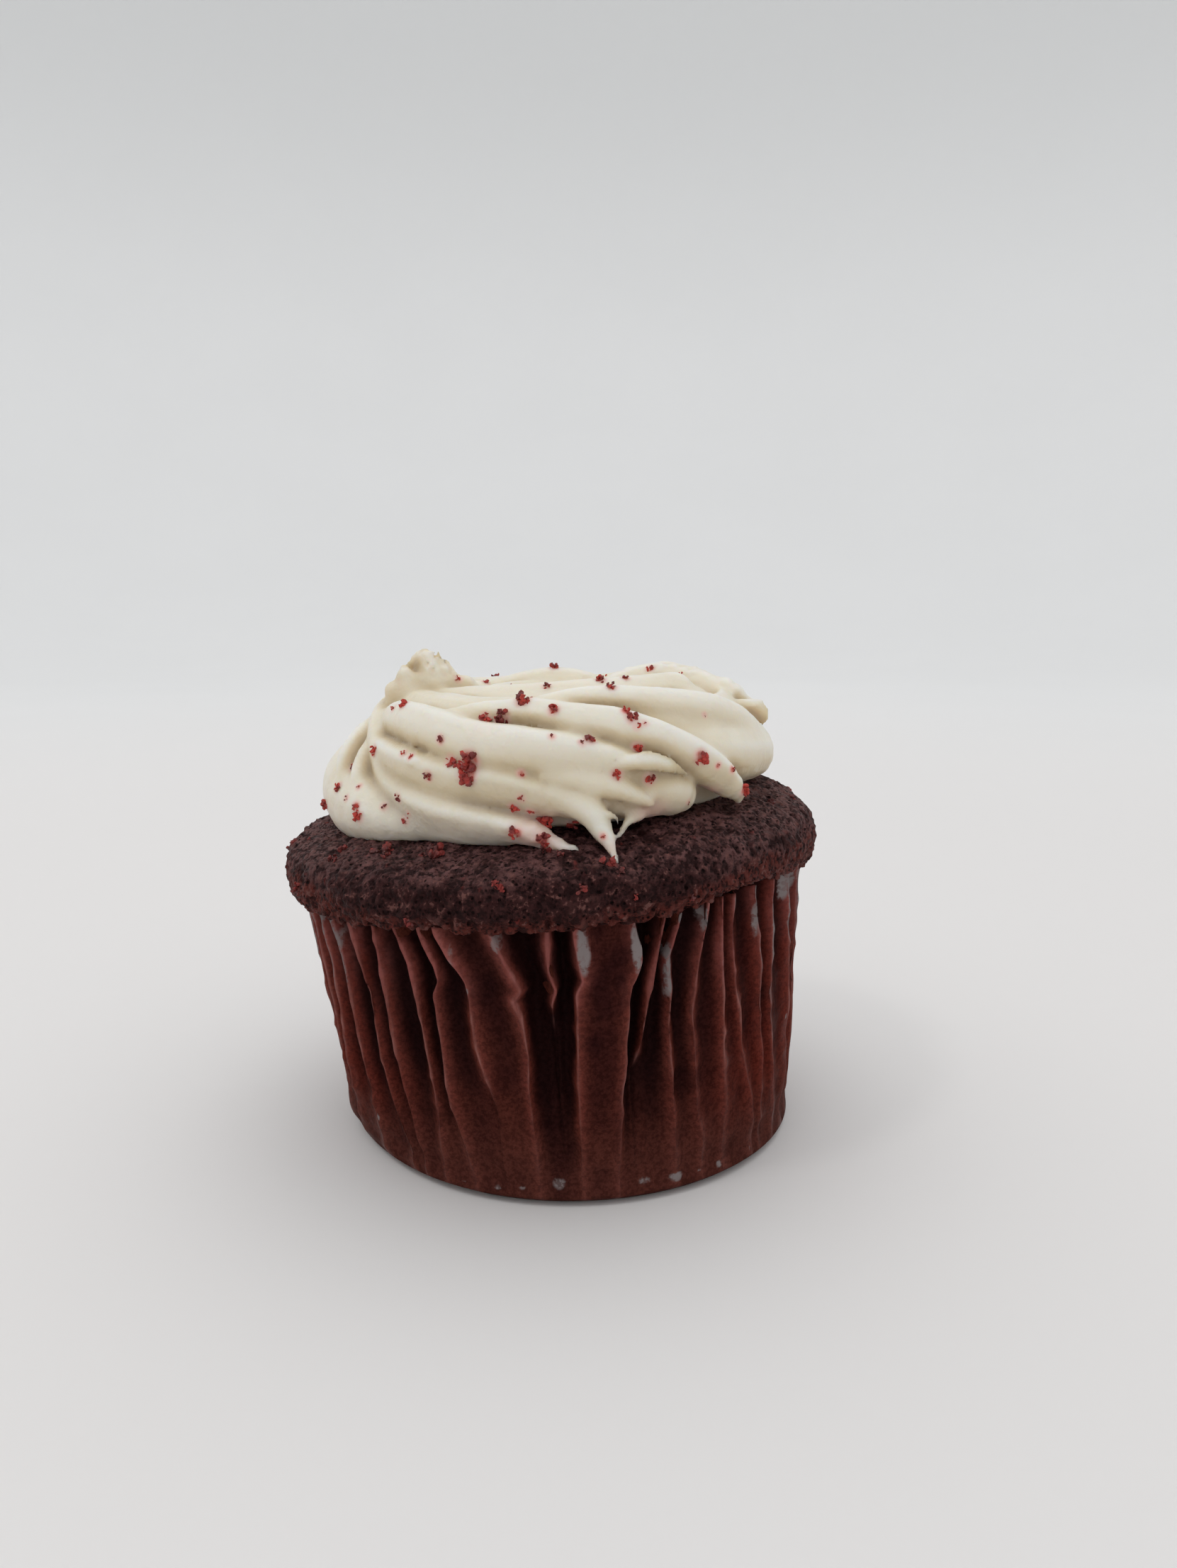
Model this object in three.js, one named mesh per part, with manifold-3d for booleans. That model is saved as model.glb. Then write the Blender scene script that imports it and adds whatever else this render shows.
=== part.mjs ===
// A red velvet cupcake with a piped swirl of cream icing, in its pleated paper case.
//
// Millimetres, +Z up. The origin is the centre of the flat base of the paper case, and the
// front is -Y. An azimuth of 0 degrees points to the front and grows towards +X.
//
// The case and the cake are first made upright, about the Z axis. Then settle() leans them
// a little to -X and raises their +X side, because the cupcake rose unevenly in its tin.

import * as THREE from 'three';
import { mergeVertices } from 'three/addons/utils/BufferGeometryUtils.js';
import loadManifold from 'manifold-3d';

const wasm = await loadManifold();
wasm.setup();

// ---------------------------------------------------------------------------------------
// Driving dimensions: millimetres and degrees
// ---------------------------------------------------------------------------------------

const CLEARANCE = 0.3;          // gap between pieces that touch
const LEAN = -0.066;            // sideways shift for each millimetre of height
const TILT = 0.00214;           // share of the height gained for each millimetre towards +X

const PAPER = {
  thickness: 0.4,
  height: 30.2,
  baseRadius: 24.9,
  footRadius: 26.2,
  footHeight: 0.9,
  wallRadiusAtFloor: 26.4,      // the wall's cone, carried down to the floor
  wallFlare: 0.094,             // radius gained for each millimetre of height
  ringHeights: [2.6, 10, 20, 30.2],
};

const PLEATS = {
  // the ridges round the front, which are crowded and uneven; the rest follow a rule
  frontRidges: [-82, -74, -66, -59, -53, -45.5, -38, -31, -24.5, -17, -8.5, 0.8,
    11.5, 22.5, 27, 33.5, 38.5, 43, 50, 57, 65, 73, 81],
  backCount: 22,
  panelRidge: 12,               // this ridge is pressed into a wide flat panel
  panelWidth: 11.5,
  ridgeWidth: 2.4,
  valleyShare: 0.24,            // share of the gap between two ridges that its floor takes
  depthAtRim: 1.9,
  deepRidges: [10, 11, 12],     // the valleys after these ridges are sunk onto the cake
  deepening: 1.5,
  unevenness: 0.3,
};

const CAKE = {
  floor: 0.75,
  footRadius: 24.2,
  sideRadius: 25.2,
  sideFoot: 2.2,
  lipInnerRadius: 29.6,
  lipRadius: 30.75,
  lipHeight: 32.2,
  lipHang: 27.8,                // lowest edge of the lip, at the sides and the back
  frontLift: 2.0,               // how much higher that edge is across the front
  notchLift: 0.8,               // and a little more where the lip pulled away
  notchAzimuth: 42,
  notchWidth: 12,
  frontDip: 2.7,                // how far the dome sinks towards the front
  dipAzimuth: -15,
  lumpSize: 0.28,
  segments: 90,
};

// the domed top of the cake, from the widest point of the lip to the middle: radius, height
const CAKE_DOME = [
  [30.5, 34.0], [29.7, 35.7], [28.0, 37.0], [25.5, 38.1], [22.0, 39.1], [14.0, 40.6], [0, 41.4],
];

const ICING = {
  centreX: -0.6,
  radius: 24.3,
  waist: 42,                    // height of the widest point
  top: 54.6,
  roundness: [3.2, 2.6],        // exponents of the upper curve, by height and by radius
  tuck: 0.045,                  // how fast the side pulls in below the waist
  underside: 34.0,
  coreInset: 2.5,               // the core lies this far inside the crests of the strands
  coreTop: 52.4,
};

// The ridges that the star nozzle left. Each one starts high on the swirl at one azimuth and
// runs down to another, slowly at first: height = top - (top - bottom) * share ^ drop. It
// narrows to a point over the last stretch of its length, which taper gives.
const FRONT_STRANDS = [
  { from: -21, to: 80, top: 52.4, bottom: 41.6, drop: 7.0, thick: 3.0, taper: 0.12 },
  { from: -40, to: 54, top: 50.7, bottom: 39.4, drop: 3.1, thick: 2.5, taper: 0.3 },
  { from: -60, to: 34, top: 50.6, bottom: 42.4, drop: 1.8, thick: 2.7, taper: 0.35 },
  { from: -55, to: 12, top: 45.3, bottom: 35.4, drop: 5.0, thick: 2.7, taper: 0.4 },
  { from: -70, to: 9, top: 40.4, bottom: 36.9, drop: 1.2, thick: 3.0, taper: 0.45 },
  { from: -92, to: -52, top: 51.3, bottom: 41.5, drop: 3.0, thick: 2.7, taper: 0.15 },
];

const BACK_STRANDS = { count: 9, firstEnd: 100, spacing: 22, sweep: 84, top: 51.8, bottom: 39.0,
  drop: 2.6, thick: 2.7, taper: 0.15, unevenness: 3 };

// the fold that bulges out over the left shoulder, and the inner turn that lies on top
const LEFT_FOLD = { from: -50, to: -126, top: 42.2, bottom: 36.8, reach: 3.9, thick: 4.8 };
const TOP_TURN = { from: -50, to: 225, radius: 12.4, height: 49.0, thick: 3.9, wave: 0.5 };

// the torn peak where the nozzle was pulled away
const PEAK = { x: -16.0, y: -3.0, baseHeight: 47.5, baseRadius: 6.2, topHeight: 55.1, sides: 9 };

const STRAND_SIDES = 8;
const STRAND_STATIONS = 12;

// Cake crumbs on the icing, the largest first: azimuth, height, radius
const LARGE_CRUMBS = [
  [-22.5, 44.2, 1.55], [-8.5, 51.3, 1.2], [-15, 49.7, 1.15], [34, 45.6, 1.1], [-20, 49.6, 0.95],
  [50, 41.2, 1.0], [-3, 38.6, 1.05], [-28, 45.2, 0.9], [16, 50.2, 0.8], [18.5, 44.2, 0.85],
  [12, 44.6, 0.75], [-66, 44.4, 0.9], [-62, 39.2, 0.85], [7, 48.2, 0.75], [-11, 40.6, 0.8],
];

// smaller crumbs all round the icing and on the cake's shoulder, by rule
const SMALL_CRUMBS = { icingCount: 26, cakeCount: 14, largest: 0.85, smallest: 0.55 };

// ---------------------------------------------------------------------------------------
// Helpers
// ---------------------------------------------------------------------------------------

/** A repeatable number between -1 and 1 for item `index` of series `series`. */
function jitter(index, series) {
  const wave = Math.sin(index * 12.9898 + series * 78.233) * 43758.5453;
  return 2 * (wave - Math.floor(wave)) - 1;
}

/** A repeatable number between two limits. */
function jitterBetween(index, series, low, high) {
  return low + (high - low) * (jitter(index, series) + 1) / 2;
}

/** The unit vector that points outwards at an azimuth in degrees. */
function outwardAt(azimuth) {
  const angle = THREE.MathUtils.degToRad(azimuth);
  return new THREE.Vector3(Math.sin(angle), -Math.cos(angle), 0);
}

/** Leans and tilts an upright point of the case or the cake. */
function settle(point) {
  point.x += LEAN * point.z;
  point.z *= 1 + TILT * point.x;
  return point;
}

/**
 * A closed surface that is swept through rings of points. The lathe gives the faces, and
 * place(ring, station) gives where the point of a ring (0..rings) and a station goes.
 */
function sweep(rings, stations, place) {
  const profile = Array.from({ length: stations }, (_, station) => {
    const onAxis = station === 0 || station === stations - 1;
    return new THREE.Vector2(onAxis ? 0 : 1, station);
  });
  const geometry = new THREE.LatheGeometry(profile, rings);
  const position = geometry.attributes.position;
  for (let ring = 0; ring <= rings; ring += 1) {
    for (let station = 0; station < stations; station += 1) {
      const point = place(ring % rings, station);
      position.setXYZ(ring * stations + station, point.x, point.y, point.z);
    }
  }
  return geometry;
}

/** Turns a closed three.js geometry into a manifold solid. */
function toSolid(geometry) {
  const bare = geometry.clone();
  bare.deleteAttribute('normal');
  bare.deleteAttribute('uv');
  const merged = mergeVertices(bare, 1e-4);
  const corners = merged.index.array;
  const triVerts = [];
  for (let i = 0; i < corners.length; i += 3) {
    const [a, b, c] = [corners[i], corners[i + 1], corners[i + 2]];
    if (a !== b && b !== c && c !== a) triVerts.push(a, b, c);
  }
  return new wasm.Manifold(new wasm.Mesh({
    numProp: 3,
    vertProperties: new Float32Array(merged.attributes.position.array),
    triVerts: new Uint32Array(triVerts),
  }));
}

/** Turns a manifold solid back into a three.js geometry. */
function toGeometry(solid) {
  const mesh = solid.getMesh();
  const geometry = new THREE.BufferGeometry();
  geometry.setAttribute('position', new THREE.BufferAttribute(mesh.vertProperties, 3));
  geometry.setIndex(new THREE.BufferAttribute(mesh.triVerts, 1));
  geometry.computeVertexNormals();
  return geometry;
}

/** Joins solids and keeps the largest body, without loose scraps. */
function joined(solids) {
  const whole = solids.reduce((sum, solid) => sum.add(solid));
  return largestBody(whole);
}

function largestBody(solid) {
  return solid.decompose().reduce((best, body) => (body.volume() > best.volume() ? body : best));
}

// ---------------------------------------------------------------------------------------
// Paper case
// ---------------------------------------------------------------------------------------

/** The azimuth of every ridge, once round. */
function ridgeAzimuths() {
  const front = PLEATS.frontRidges;
  const first = front[0];
  const last = front[front.length - 1];
  const pitch = (first + 360 - last) / (PLEATS.backCount + 1);
  const back = Array.from({ length: PLEATS.backCount }, (_, k) => (
    last + pitch * (k + 1 + 0.22 * jitter(k, 1))
  ));
  return [...front, ...back];
}

/** Four corners for each pleat: the two edges of its ridge and of the valley after it. */
function pleatCorners() {
  const ridges = ridgeAzimuths();
  const halfWidth = (k) => (k === PLEATS.panelRidge ? PLEATS.panelWidth : PLEATS.ridgeWidth) / 2;
  return ridges.flatMap((azimuth, k) => {
    const nextIndex = (k + 1) % ridges.length;
    const next = ridges[nextIndex] + (nextIndex === 0 ? 360 : 0);
    const start = azimuth + halfWidth(k);
    const gap = next - halfWidth(nextIndex) - start;
    const sunk = PLEATS.deepRidges.includes(k) ? PLEATS.deepening : 1;
    const depth = PLEATS.depthAtRim * sunk * (1 + PLEATS.unevenness * jitter(k, 2) / sunk);
    return [
      { azimuth: azimuth - halfWidth(k), depth: 0 },
      { azimuth: start, depth: 0 },
      { azimuth: start + gap * (0.5 - PLEATS.valleyShare / 2), depth },
      { azimuth: start + gap * (0.5 + PLEATS.valleyShare / 2), depth },
    ];
  });
}

/** Radius of the ridges of the paper wall at an upright height. */
function wallRadius(height) {
  return PAPER.wallRadiusAtFloor + PAPER.wallFlare * height;
}

/** The wall's section from the middle of the base, up outside and down inside, to the middle. */
function paperStations() {
  const outer = PAPER.ringHeights.map((height) => ({ radius: wallRadius(height), height }));
  const inner = outer.map(({ radius, height }) => ({ radius: radius - PAPER.thickness, height }));
  return [
    { radius: 0, height: 0 },
    { radius: PAPER.baseRadius, height: 0 },
    { radius: PAPER.footRadius, height: PAPER.footHeight },
    ...outer,
    ...inner.reverse(),
    { radius: PAPER.baseRadius - PAPER.thickness, height: PAPER.thickness },
    { radius: 0, height: PAPER.thickness },
  ];
}

function paperCaseGeometry() {
  const corners = pleatCorners();
  const stations = paperStations();
  return sweep(corners.length, stations.length, (ring, station) => {
    const { azimuth, depth } = corners[ring];
    const { radius, height } = stations[station];
    const opened = height > PAPER.footHeight ? (height / PAPER.height) ** 0.8 : 0;
    const point = outwardAt(azimuth).multiplyScalar(Math.max(radius - depth * opened, 0));
    point.z = height;
    return settle(point);
  });
}

// ---------------------------------------------------------------------------------------
// Cake
// ---------------------------------------------------------------------------------------

/** Height of the lip's lower edge, which hangs over the paper at the sides and the back. */
function lipEdge(azimuth) {
  const aside = Math.abs(THREE.MathUtils.euclideanModulo(azimuth + 180, 360) - 180);
  const front = 1 - THREE.MathUtils.smoothstep(aside, 58, 82);
  const fromNotch = (aside * Math.sign(outwardAt(azimuth).x) - CAKE.notchAzimuth) / CAKE.notchWidth;
  return CAKE.lipHang + CAKE.frontLift * front + CAKE.notchLift * Math.exp(-(fromNotch ** 2));
}

/** The cake's section, with the torn lip's lower edge at the height that the azimuth gives. */
function cakeStations(azimuth) {
  const underside = PAPER.height + CLEARANCE;
  const edge = lipEdge(azimuth);
  return [
    [0, CAKE.floor],
    [CAKE.footRadius, CAKE.floor],
    [CAKE.sideRadius, CAKE.sideFoot],
    [CAKE.sideRadius, underside],
    [CAKE.lipInnerRadius, underside],
    [CAKE.lipInnerRadius + 0.1, edge],
    [CAKE.lipRadius - 0.45, edge + 0.9],
    [CAKE.lipRadius, CAKE.lipHeight],
    ...CAKE_DOME,
  ];
}

/** How far the dome lies below its section, towards the front. */
function dip(azimuth, radius) {
  const share = Math.min(radius / CAKE.lipRadius, 1);
  const towardsFront = Math.max(outwardAt(azimuth).dot(outwardAt(CAKE.dipAzimuth)), 0);
  return CAKE.frontDip * towardsFront * share * (1 - share ** 4);
}

/** Low uneven swelling of the baked surface. */
function lump(azimuth, station) {
  const angle = THREE.MathUtils.degToRad(azimuth);
  const slow = Math.sin(3 * angle + 1.1) + 0.7 * Math.sin(5 * angle + station * 0.9);
  const quick = 0.8 * Math.sin(11 * angle + station * 2.1) + 0.5 * Math.sin(23 * angle - station);
  return CAKE.lumpSize * (slow + quick) / 2;
}

/** A point of the baked dome or lip; row counts the points of the section above the paper. */
function bakedPoint(azimuth, radius, height, row) {
  const swollen = radius > 0 ? lump(azimuth, row) : 0;
  const point = outwardAt(azimuth).multiplyScalar(radius + swollen * 0.6);
  const sunk = height > CAKE.lipHeight ? dip(azimuth, radius) : 0;
  return settle(point.setZ(height + swollen * 0.5 - sunk));
}

function cakeGeometry() {
  const firstBaked = 6;           // what the paper holds stays plain below this row
  const stationCount = cakeStations(0).length;
  return sweep(CAKE.segments, stationCount, (ring, station) => {
    const azimuth = 360 * ring / CAKE.segments;
    const [radius, height] = cakeStations(azimuth)[station];
    if (station >= firstBaked) {
      return bakedPoint(azimuth, radius, height, station - firstBaked);
    }
    return settle(outwardAt(azimuth).multiplyScalar(radius).setZ(height));
  });
}

/** What the icing is cut by: the space below the cake's dome, with the clearance added. */
function domeCutterGeometry() {
  const wide = 60;
  const low = 20;
  const firstDomeRow = 2;         // rows 0 and 1 of the baked section are the lip
  const skirt = [[0, low], [wide, low], [wide, CAKE.lipHeight]];
  const stationCount = skirt.length + CAKE_DOME.length;
  return sweep(CAKE.segments, stationCount, (ring, station) => {
    const azimuth = 360 * ring / CAKE.segments;
    if (station < skirt.length) {
      const [radius, height] = skirt[station];
      return settle(outwardAt(azimuth).multiplyScalar(radius).setZ(height));
    }
    const domeRow = station - skirt.length;
    const [radius, height] = CAKE_DOME[domeRow];
    const point = bakedPoint(azimuth, radius, height, domeRow + firstDomeRow);
    return point.setZ(point.z + CLEARANCE * 1.3);
  });
}

// ---------------------------------------------------------------------------------------
// Icing
// ---------------------------------------------------------------------------------------

/** Radius of the swirl's outer form at a height. */
function envelopeRadius(height) {
  if (height <= ICING.waist) {
    return ICING.radius - ICING.tuck * (ICING.waist - height) ** 2;
  }
  const [byHeight, byRadius] = ICING.roundness;
  const share = Math.min((height - ICING.waist) / (ICING.top - ICING.waist), 1);
  return ICING.radius * (1 - share ** byHeight) ** (1 / byRadius);
}

/** Point and outward normal of the swirl's outer form. */
function envelope(azimuth, height) {
  const step = 0.05;
  const slope = (envelopeRadius(height + step) - envelopeRadius(height - step)) / (2 * step);
  const outward = outwardAt(azimuth);
  const point = outward.clone().multiplyScalar(envelopeRadius(height));
  point.x += ICING.centreX;
  point.z = height;
  return { point, normal: outward.setZ(-slope).normalize() };
}

/** The plain heart of the icing, which the strands lie on. */
function coreGeometry() {
  const rings = 48;
  const heights = [ICING.underside, 37, 40, 43, 46, 48.5, 50.5, 51.8, ICING.coreTop];
  const radii = heights.map((height) => envelopeRadius(height) - ICING.coreInset);
  const stations = [[0, heights[0]], ...heights.map((height, k) => [radii[k], height]),
    [0, ICING.coreTop]];
  return sweep(rings, stations.length, (ring, station) => {
    const [radius, height] = stations[station];
    const point = outwardAt(360 * ring / rings).multiplyScalar(radius);
    point.x += ICING.centreX;
    return point.setZ(height);
  });
}

/**
 * A rope of icing with a rounded start, which narrows over a last share of its length,
 * taper. route(share) gives the middle of its outer crest and the outward direction there,
 * for a share of its length from 0 to 1.
 */
function ropeGeometry(route, thick, taper) {
  const step = 0.01;
  const roundStart = 0.1;
  return sweep(STRAND_SIDES, STRAND_STATIONS + 2, (ring, station) => {
    const share = THREE.MathUtils.clamp((station - 1) / (STRAND_STATIONS - 1), 0, 1);
    const along = route(Math.min(share + step, 1)).point.sub(route(Math.max(share - step, 0)).point);
    const { point, normal } = route(share);
    const side = along.cross(normal).normalize();
    const atTip = station === 0 || station === STRAND_STATIONS + 1;
    const fromEnd = Math.min(share / roundStart, (1 - share) / taper, 1);
    const radius = atTip ? 0 : thick * (0.3 + 0.7 * Math.sqrt(fromEnd));
    const angle = 2 * Math.PI * ring / STRAND_SIDES;
    return point
      .addScaledVector(normal, -0.9 * radius - 0.2)
      .addScaledVector(normal, radius * Math.cos(angle))
      .addScaledVector(side, radius * Math.sin(angle));
  });
}

/** A strand that runs down the outside of the swirl. */
function strandGeometry({ from, to, top, bottom, drop, thick, taper }) {
  const route = (share) => envelope(
    from + (to - from) * share,
    top - (top - bottom) * share ** drop,
  );
  return ropeGeometry(route, thick, taper);
}

function backStrands() {
  const { count, firstEnd, spacing, sweep: turn, unevenness } = BACK_STRANDS;
  return Array.from({ length: count }, (_, k) => {
    const to = firstEnd + spacing * k + unevenness * jitter(k, 5);
    return { ...BACK_STRANDS, from: to - turn, to, top: BACK_STRANDS.top + 0.5 * jitter(k, 6) };
  });
}

/** The fold that bulges out beyond the swirl's left side. */
function leftFoldGeometry() {
  const { from, to, top, bottom, reach, thick } = LEFT_FOLD;
  const route = (share) => {
    const height = top + (bottom - top) * share;
    const { point, normal } = envelope(from + (to - from) * share, height);
    return { point: point.addScaledVector(normal, reach * Math.sin(Math.PI * share)), normal };
  };
  return ropeGeometry(route, thick, 0.2);
}

/** The inner turn of the swirl, which lies on top and ends at the peak. */
function topTurnGeometry() {
  const { from, to, radius, height, thick, wave } = TOP_TURN;
  const route = (share) => {
    const point = outwardAt(from + (to - from) * share).multiplyScalar(radius);
    point.x += ICING.centreX;
    point.z = height + thick + wave * Math.sin(5 * Math.PI * share);
    return { point, normal: new THREE.Vector3(0, 0, 1) };
  };
  return ropeGeometry(route, thick, 0.2);
}

function peakGeometry() {
  const rows = [[0, 0], [1, 0], [0.92, 0.35], [0.6, 0.62], [0.42, 0.85], [0.16, 1], [0, 1]];
  return sweep(PEAK.sides, rows.length, (ring, station) => {
    const [wide, high] = rows[station];
    const ragged = 1 + 0.22 * jitter(ring * rows.length + station, 7);
    const point = outwardAt(360 * ring / PEAK.sides).multiplyScalar(PEAK.baseRadius * wide * ragged);
    return point.add(new THREE.Vector3(
      PEAK.x,
      PEAK.y,
      PEAK.baseHeight + (PEAK.topHeight - PEAK.baseHeight) * high,
    ));
  });
}

function icingSolid() {
  const strands = [...FRONT_STRANDS, ...backStrands()].map(strandGeometry);
  const pieces = [coreGeometry(), ...strands, leftFoldGeometry(), topTurnGeometry(), peakGeometry()];
  const swirl = joined(pieces.map(toSolid));
  return largestBody(swirl.subtract(toSolid(domeCutterGeometry())));
}

// ---------------------------------------------------------------------------------------
// Crumbs
// ---------------------------------------------------------------------------------------

/** An uneven crumb, sunk by a third into the surface that it lies on. */
function crumbGeometry(point, normal, radius, index) {
  const geometry = new THREE.IcosahedronGeometry(radius, 0);
  const bare = geometry.clone();
  bare.deleteAttribute('normal');
  bare.deleteAttribute('uv');
  const crumb = mergeVertices(bare, 1e-4);
  const position = crumb.attributes.position;
  const corner = new THREE.Vector3();
  for (let i = 0; i < position.count; i += 1) {
    corner.fromBufferAttribute(position, i).multiplyScalar(1 + 0.28 * jitter(index * 12 + i, 8));
    corner.addScaledVector(normal, radius * 0.2).add(point);
    position.setXYZ(i, corner.x, corner.y, corner.z);
  }
  return crumb;
}

/** Where a level ray from outside meets a surface at an azimuth and a height. */
function landing(mesh, azimuth, height) {
  const outward = outwardAt(azimuth);
  const start = outward.clone().multiplyScalar(60).setZ(height);
  const caster = new THREE.Raycaster(start, outward.clone().negate());
  const hit = caster.intersectObject(mesh)[0];
  return hit && { point: hit.point, normal: hit.face.normal.clone() };
}

/** Where a ray from above meets a surface at an azimuth and a radius. */
function landingFromAbove(mesh, azimuth, radius) {
  const start = outwardAt(azimuth).multiplyScalar(radius).setZ(90);
  const caster = new THREE.Raycaster(start, new THREE.Vector3(0, 0, -1));
  const hit = caster.intersectObject(mesh)[0];
  return hit && { point: hit.point, normal: hit.face.normal.clone() };
}

/** Joins crumbs, given as landing spots with a radius, to the solid that they lie on. */
function withCrumbs(solid, spots) {
  const crumbs = spots.map(({ spot, radius }, k) => (
    toSolid(crumbGeometry(spot.point, spot.normal, radius, k))
  ));
  return joined([solid, ...crumbs]);
}

function smallCrumbRadius(rank, count) {
  return SMALL_CRUMBS.largest + (SMALL_CRUMBS.smallest - SMALL_CRUMBS.largest) * rank / count;
}

/** Crumbs on the icing: the large ones in front, then smaller ones all round and on top. */
function icingCrumbSpots(mesh) {
  const placed = LARGE_CRUMBS.map(([azimuth, height, radius]) => (
    { spot: landing(mesh, azimuth, height), radius }
  ));
  const goldenAngle = 137.508;
  const scattered = Array.from({ length: SMALL_CRUMBS.icingCount }, (_, k) => {
    const azimuth = 70 + goldenAngle * k + 12 * jitter(k, 9);
    const radius = smallCrumbRadius(k, SMALL_CRUMBS.icingCount);
    const onTop = k % 3 === 0;
    const spot = onTop
      ? landingFromAbove(mesh, azimuth, jitterBetween(k, 10, 4, 17))
      : landing(mesh, azimuth, jitterBetween(k, 11, 40, 50));
    return { spot, radius };
  });
  return [...placed, ...scattered].filter(({ spot }) => spot);
}

/** Crumbs on the cake's shoulder, outside the foot of the icing. */
function cakeCrumbSpots(mesh) {
  return Array.from({ length: SMALL_CRUMBS.cakeCount }, (_, k) => {
    const azimuth = -76 + 360 * k / SMALL_CRUMBS.cakeCount + 9 * jitter(k, 12);
    const spot = landing(mesh, azimuth, jitterBetween(k, 13, 32.5, 34.5));
    return { spot, radius: smallCrumbRadius(k, SMALL_CRUMBS.cakeCount) };
  }).filter(({ spot }) => spot);
}

// ---------------------------------------------------------------------------------------
// Assembly
// ---------------------------------------------------------------------------------------

/** A named mesh with its own material. */
function piece(name, geometry, color, roughness) {
  const material = new THREE.MeshStandardMaterial({ color, roughness, metalness: 0 });
  const mesh = new THREE.Mesh(geometry, material);
  mesh.name = name;
  return mesh;
}

const bareCake = toSolid(cakeGeometry());
const cakeSurface = new THREE.Mesh(toGeometry(bareCake));
const cake = withCrumbs(bareCake, cakeCrumbSpots(cakeSurface));

const bareIcing = icingSolid();
const icingSurface = new THREE.Mesh(toGeometry(bareIcing));
const icing = withCrumbs(bareIcing, icingCrumbSpots(icingSurface));

const group = new THREE.Group();
group.add(
  piece('paper_case', toGeometry(toSolid(paperCaseGeometry())), 0x4a2220, 0.5),
  piece('cake', toGeometry(cake), 0x45251f, 0.9),
  piece('icing', toGeometry(icing), 0xe9e0c8, 0.55),
);

export default group;
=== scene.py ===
"""A red velvet cupcake with a piped swirl of cream icing, in its pleated paper case.

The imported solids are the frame. Each of them is replaced here by a finished piece of the same
place and size: the pleated greaseproof case, the baked cake with its torn lip, and the icing
with its strands, folds and torn ends. The cake crumbs that were scattered over it are a piece
of their own.

Forms are worked out in millimetres and become metres when a mesh is made. The front is -Y, and
an azimuth of 0 degrees points there and grows towards +X.
"""
import sys

import logging
import math
from dataclasses import dataclass, field
from enum import Enum
from typing import Dict, Iterable, List, Optional, Sequence, Tuple, Union

import bpy
import numpy as np
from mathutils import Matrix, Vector
from mathutils.bvhtree import BVHTree


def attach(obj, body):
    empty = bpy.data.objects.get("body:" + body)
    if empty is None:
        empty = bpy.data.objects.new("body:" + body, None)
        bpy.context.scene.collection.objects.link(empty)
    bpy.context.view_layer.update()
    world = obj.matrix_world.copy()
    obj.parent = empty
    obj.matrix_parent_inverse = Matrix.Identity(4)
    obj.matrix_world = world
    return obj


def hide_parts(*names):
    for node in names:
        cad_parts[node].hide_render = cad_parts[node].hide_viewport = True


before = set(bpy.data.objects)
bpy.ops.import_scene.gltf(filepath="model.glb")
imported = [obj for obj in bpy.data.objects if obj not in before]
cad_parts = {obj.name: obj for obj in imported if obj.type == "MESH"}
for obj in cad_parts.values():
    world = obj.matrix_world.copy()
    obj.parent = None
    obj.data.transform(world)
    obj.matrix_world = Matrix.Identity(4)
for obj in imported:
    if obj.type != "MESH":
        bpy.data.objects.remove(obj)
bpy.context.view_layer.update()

log = logging.getLogger("cupcake")

MM = 0.001
GOLDEN_ANGLE = 137.508
BODY = "root"

Array = np.ndarray
Material = bpy.types.Material
Socket = bpy.types.NodeSocket
Knot = Tuple[float, ...]
Knots = Tuple[Knot, ...]
Place = Tuple[float, float, float]
Colour = Tuple[float, float, float, float]


# ---- Numbers and noise ----

def jitter(index: int, series: float) -> float:
    """A repeatable number between -1 and 1 for item `index` of `series`."""
    wave = math.sin(index * 12.9898 + series * 78.233) * 43758.5453
    return 2.0 * (wave - math.floor(wave)) - 1.0


def jitter_between(index: int, series: float, low: float, high: float) -> float:
    """A repeatable number between `low` and `high`."""
    return low + (high - low) * (jitter(index, series) + 1.0) / 2.0


def smoothstep(values: Array, low: float, high: float) -> Array:
    """Rises smoothly from 0 at `low` to 1 at `high`.

    Args:
        values: the numbers to look at.
        low: where the rise starts.
        high: where it ends; less than `low` makes it fall.

    Returns:
        Numbers between 0 and 1, in the shape of `values`.
    """
    share = np.clip((np.asarray(values, float) - low) / (high - low), 0.0, 1.0)
    return share * share * (3.0 - 2.0 * share)


def outward(azimuth: Array) -> Array:
    """Unit vectors that point outwards at azimuths in degrees."""
    angle = np.radians(np.asarray(azimuth, float))
    return np.stack([np.sin(angle), -np.cos(angle), np.zeros_like(angle)], axis=-1)


def unit(vectors: Array) -> Array:
    """Vectors scaled to length 1."""
    length = np.linalg.norm(vectors, axis=-1, keepdims=True)
    return vectors / np.maximum(length, 1e-9)


def curve_through(knots: Array, count: int) -> Array:
    """A smooth curve through knots, as Catmull and Rom drew it.

    Args:
        knots: one row for each knot, with any number of values.
        count: how many points the curve gets.

    Returns:
        `count` rows, evenly spread over the knots.
    """
    knots = np.asarray(knots, float)
    padded = np.vstack([2 * knots[0] - knots[1], knots, 2 * knots[-1] - knots[-2]])
    place = np.linspace(0, len(knots) - 1, count)
    span = np.minimum(place.astype(int), len(knots) - 2)
    t = (place - span)[:, None]
    a, b, c, d = (padded[span + k] for k in range(4))
    return 0.5 * (2 * b + (c - a) * t + (2 * a - 5 * b + 4 * c - d) * t ** 2
                  + (3 * b - a - 3 * c + d) * t ** 3)


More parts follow.
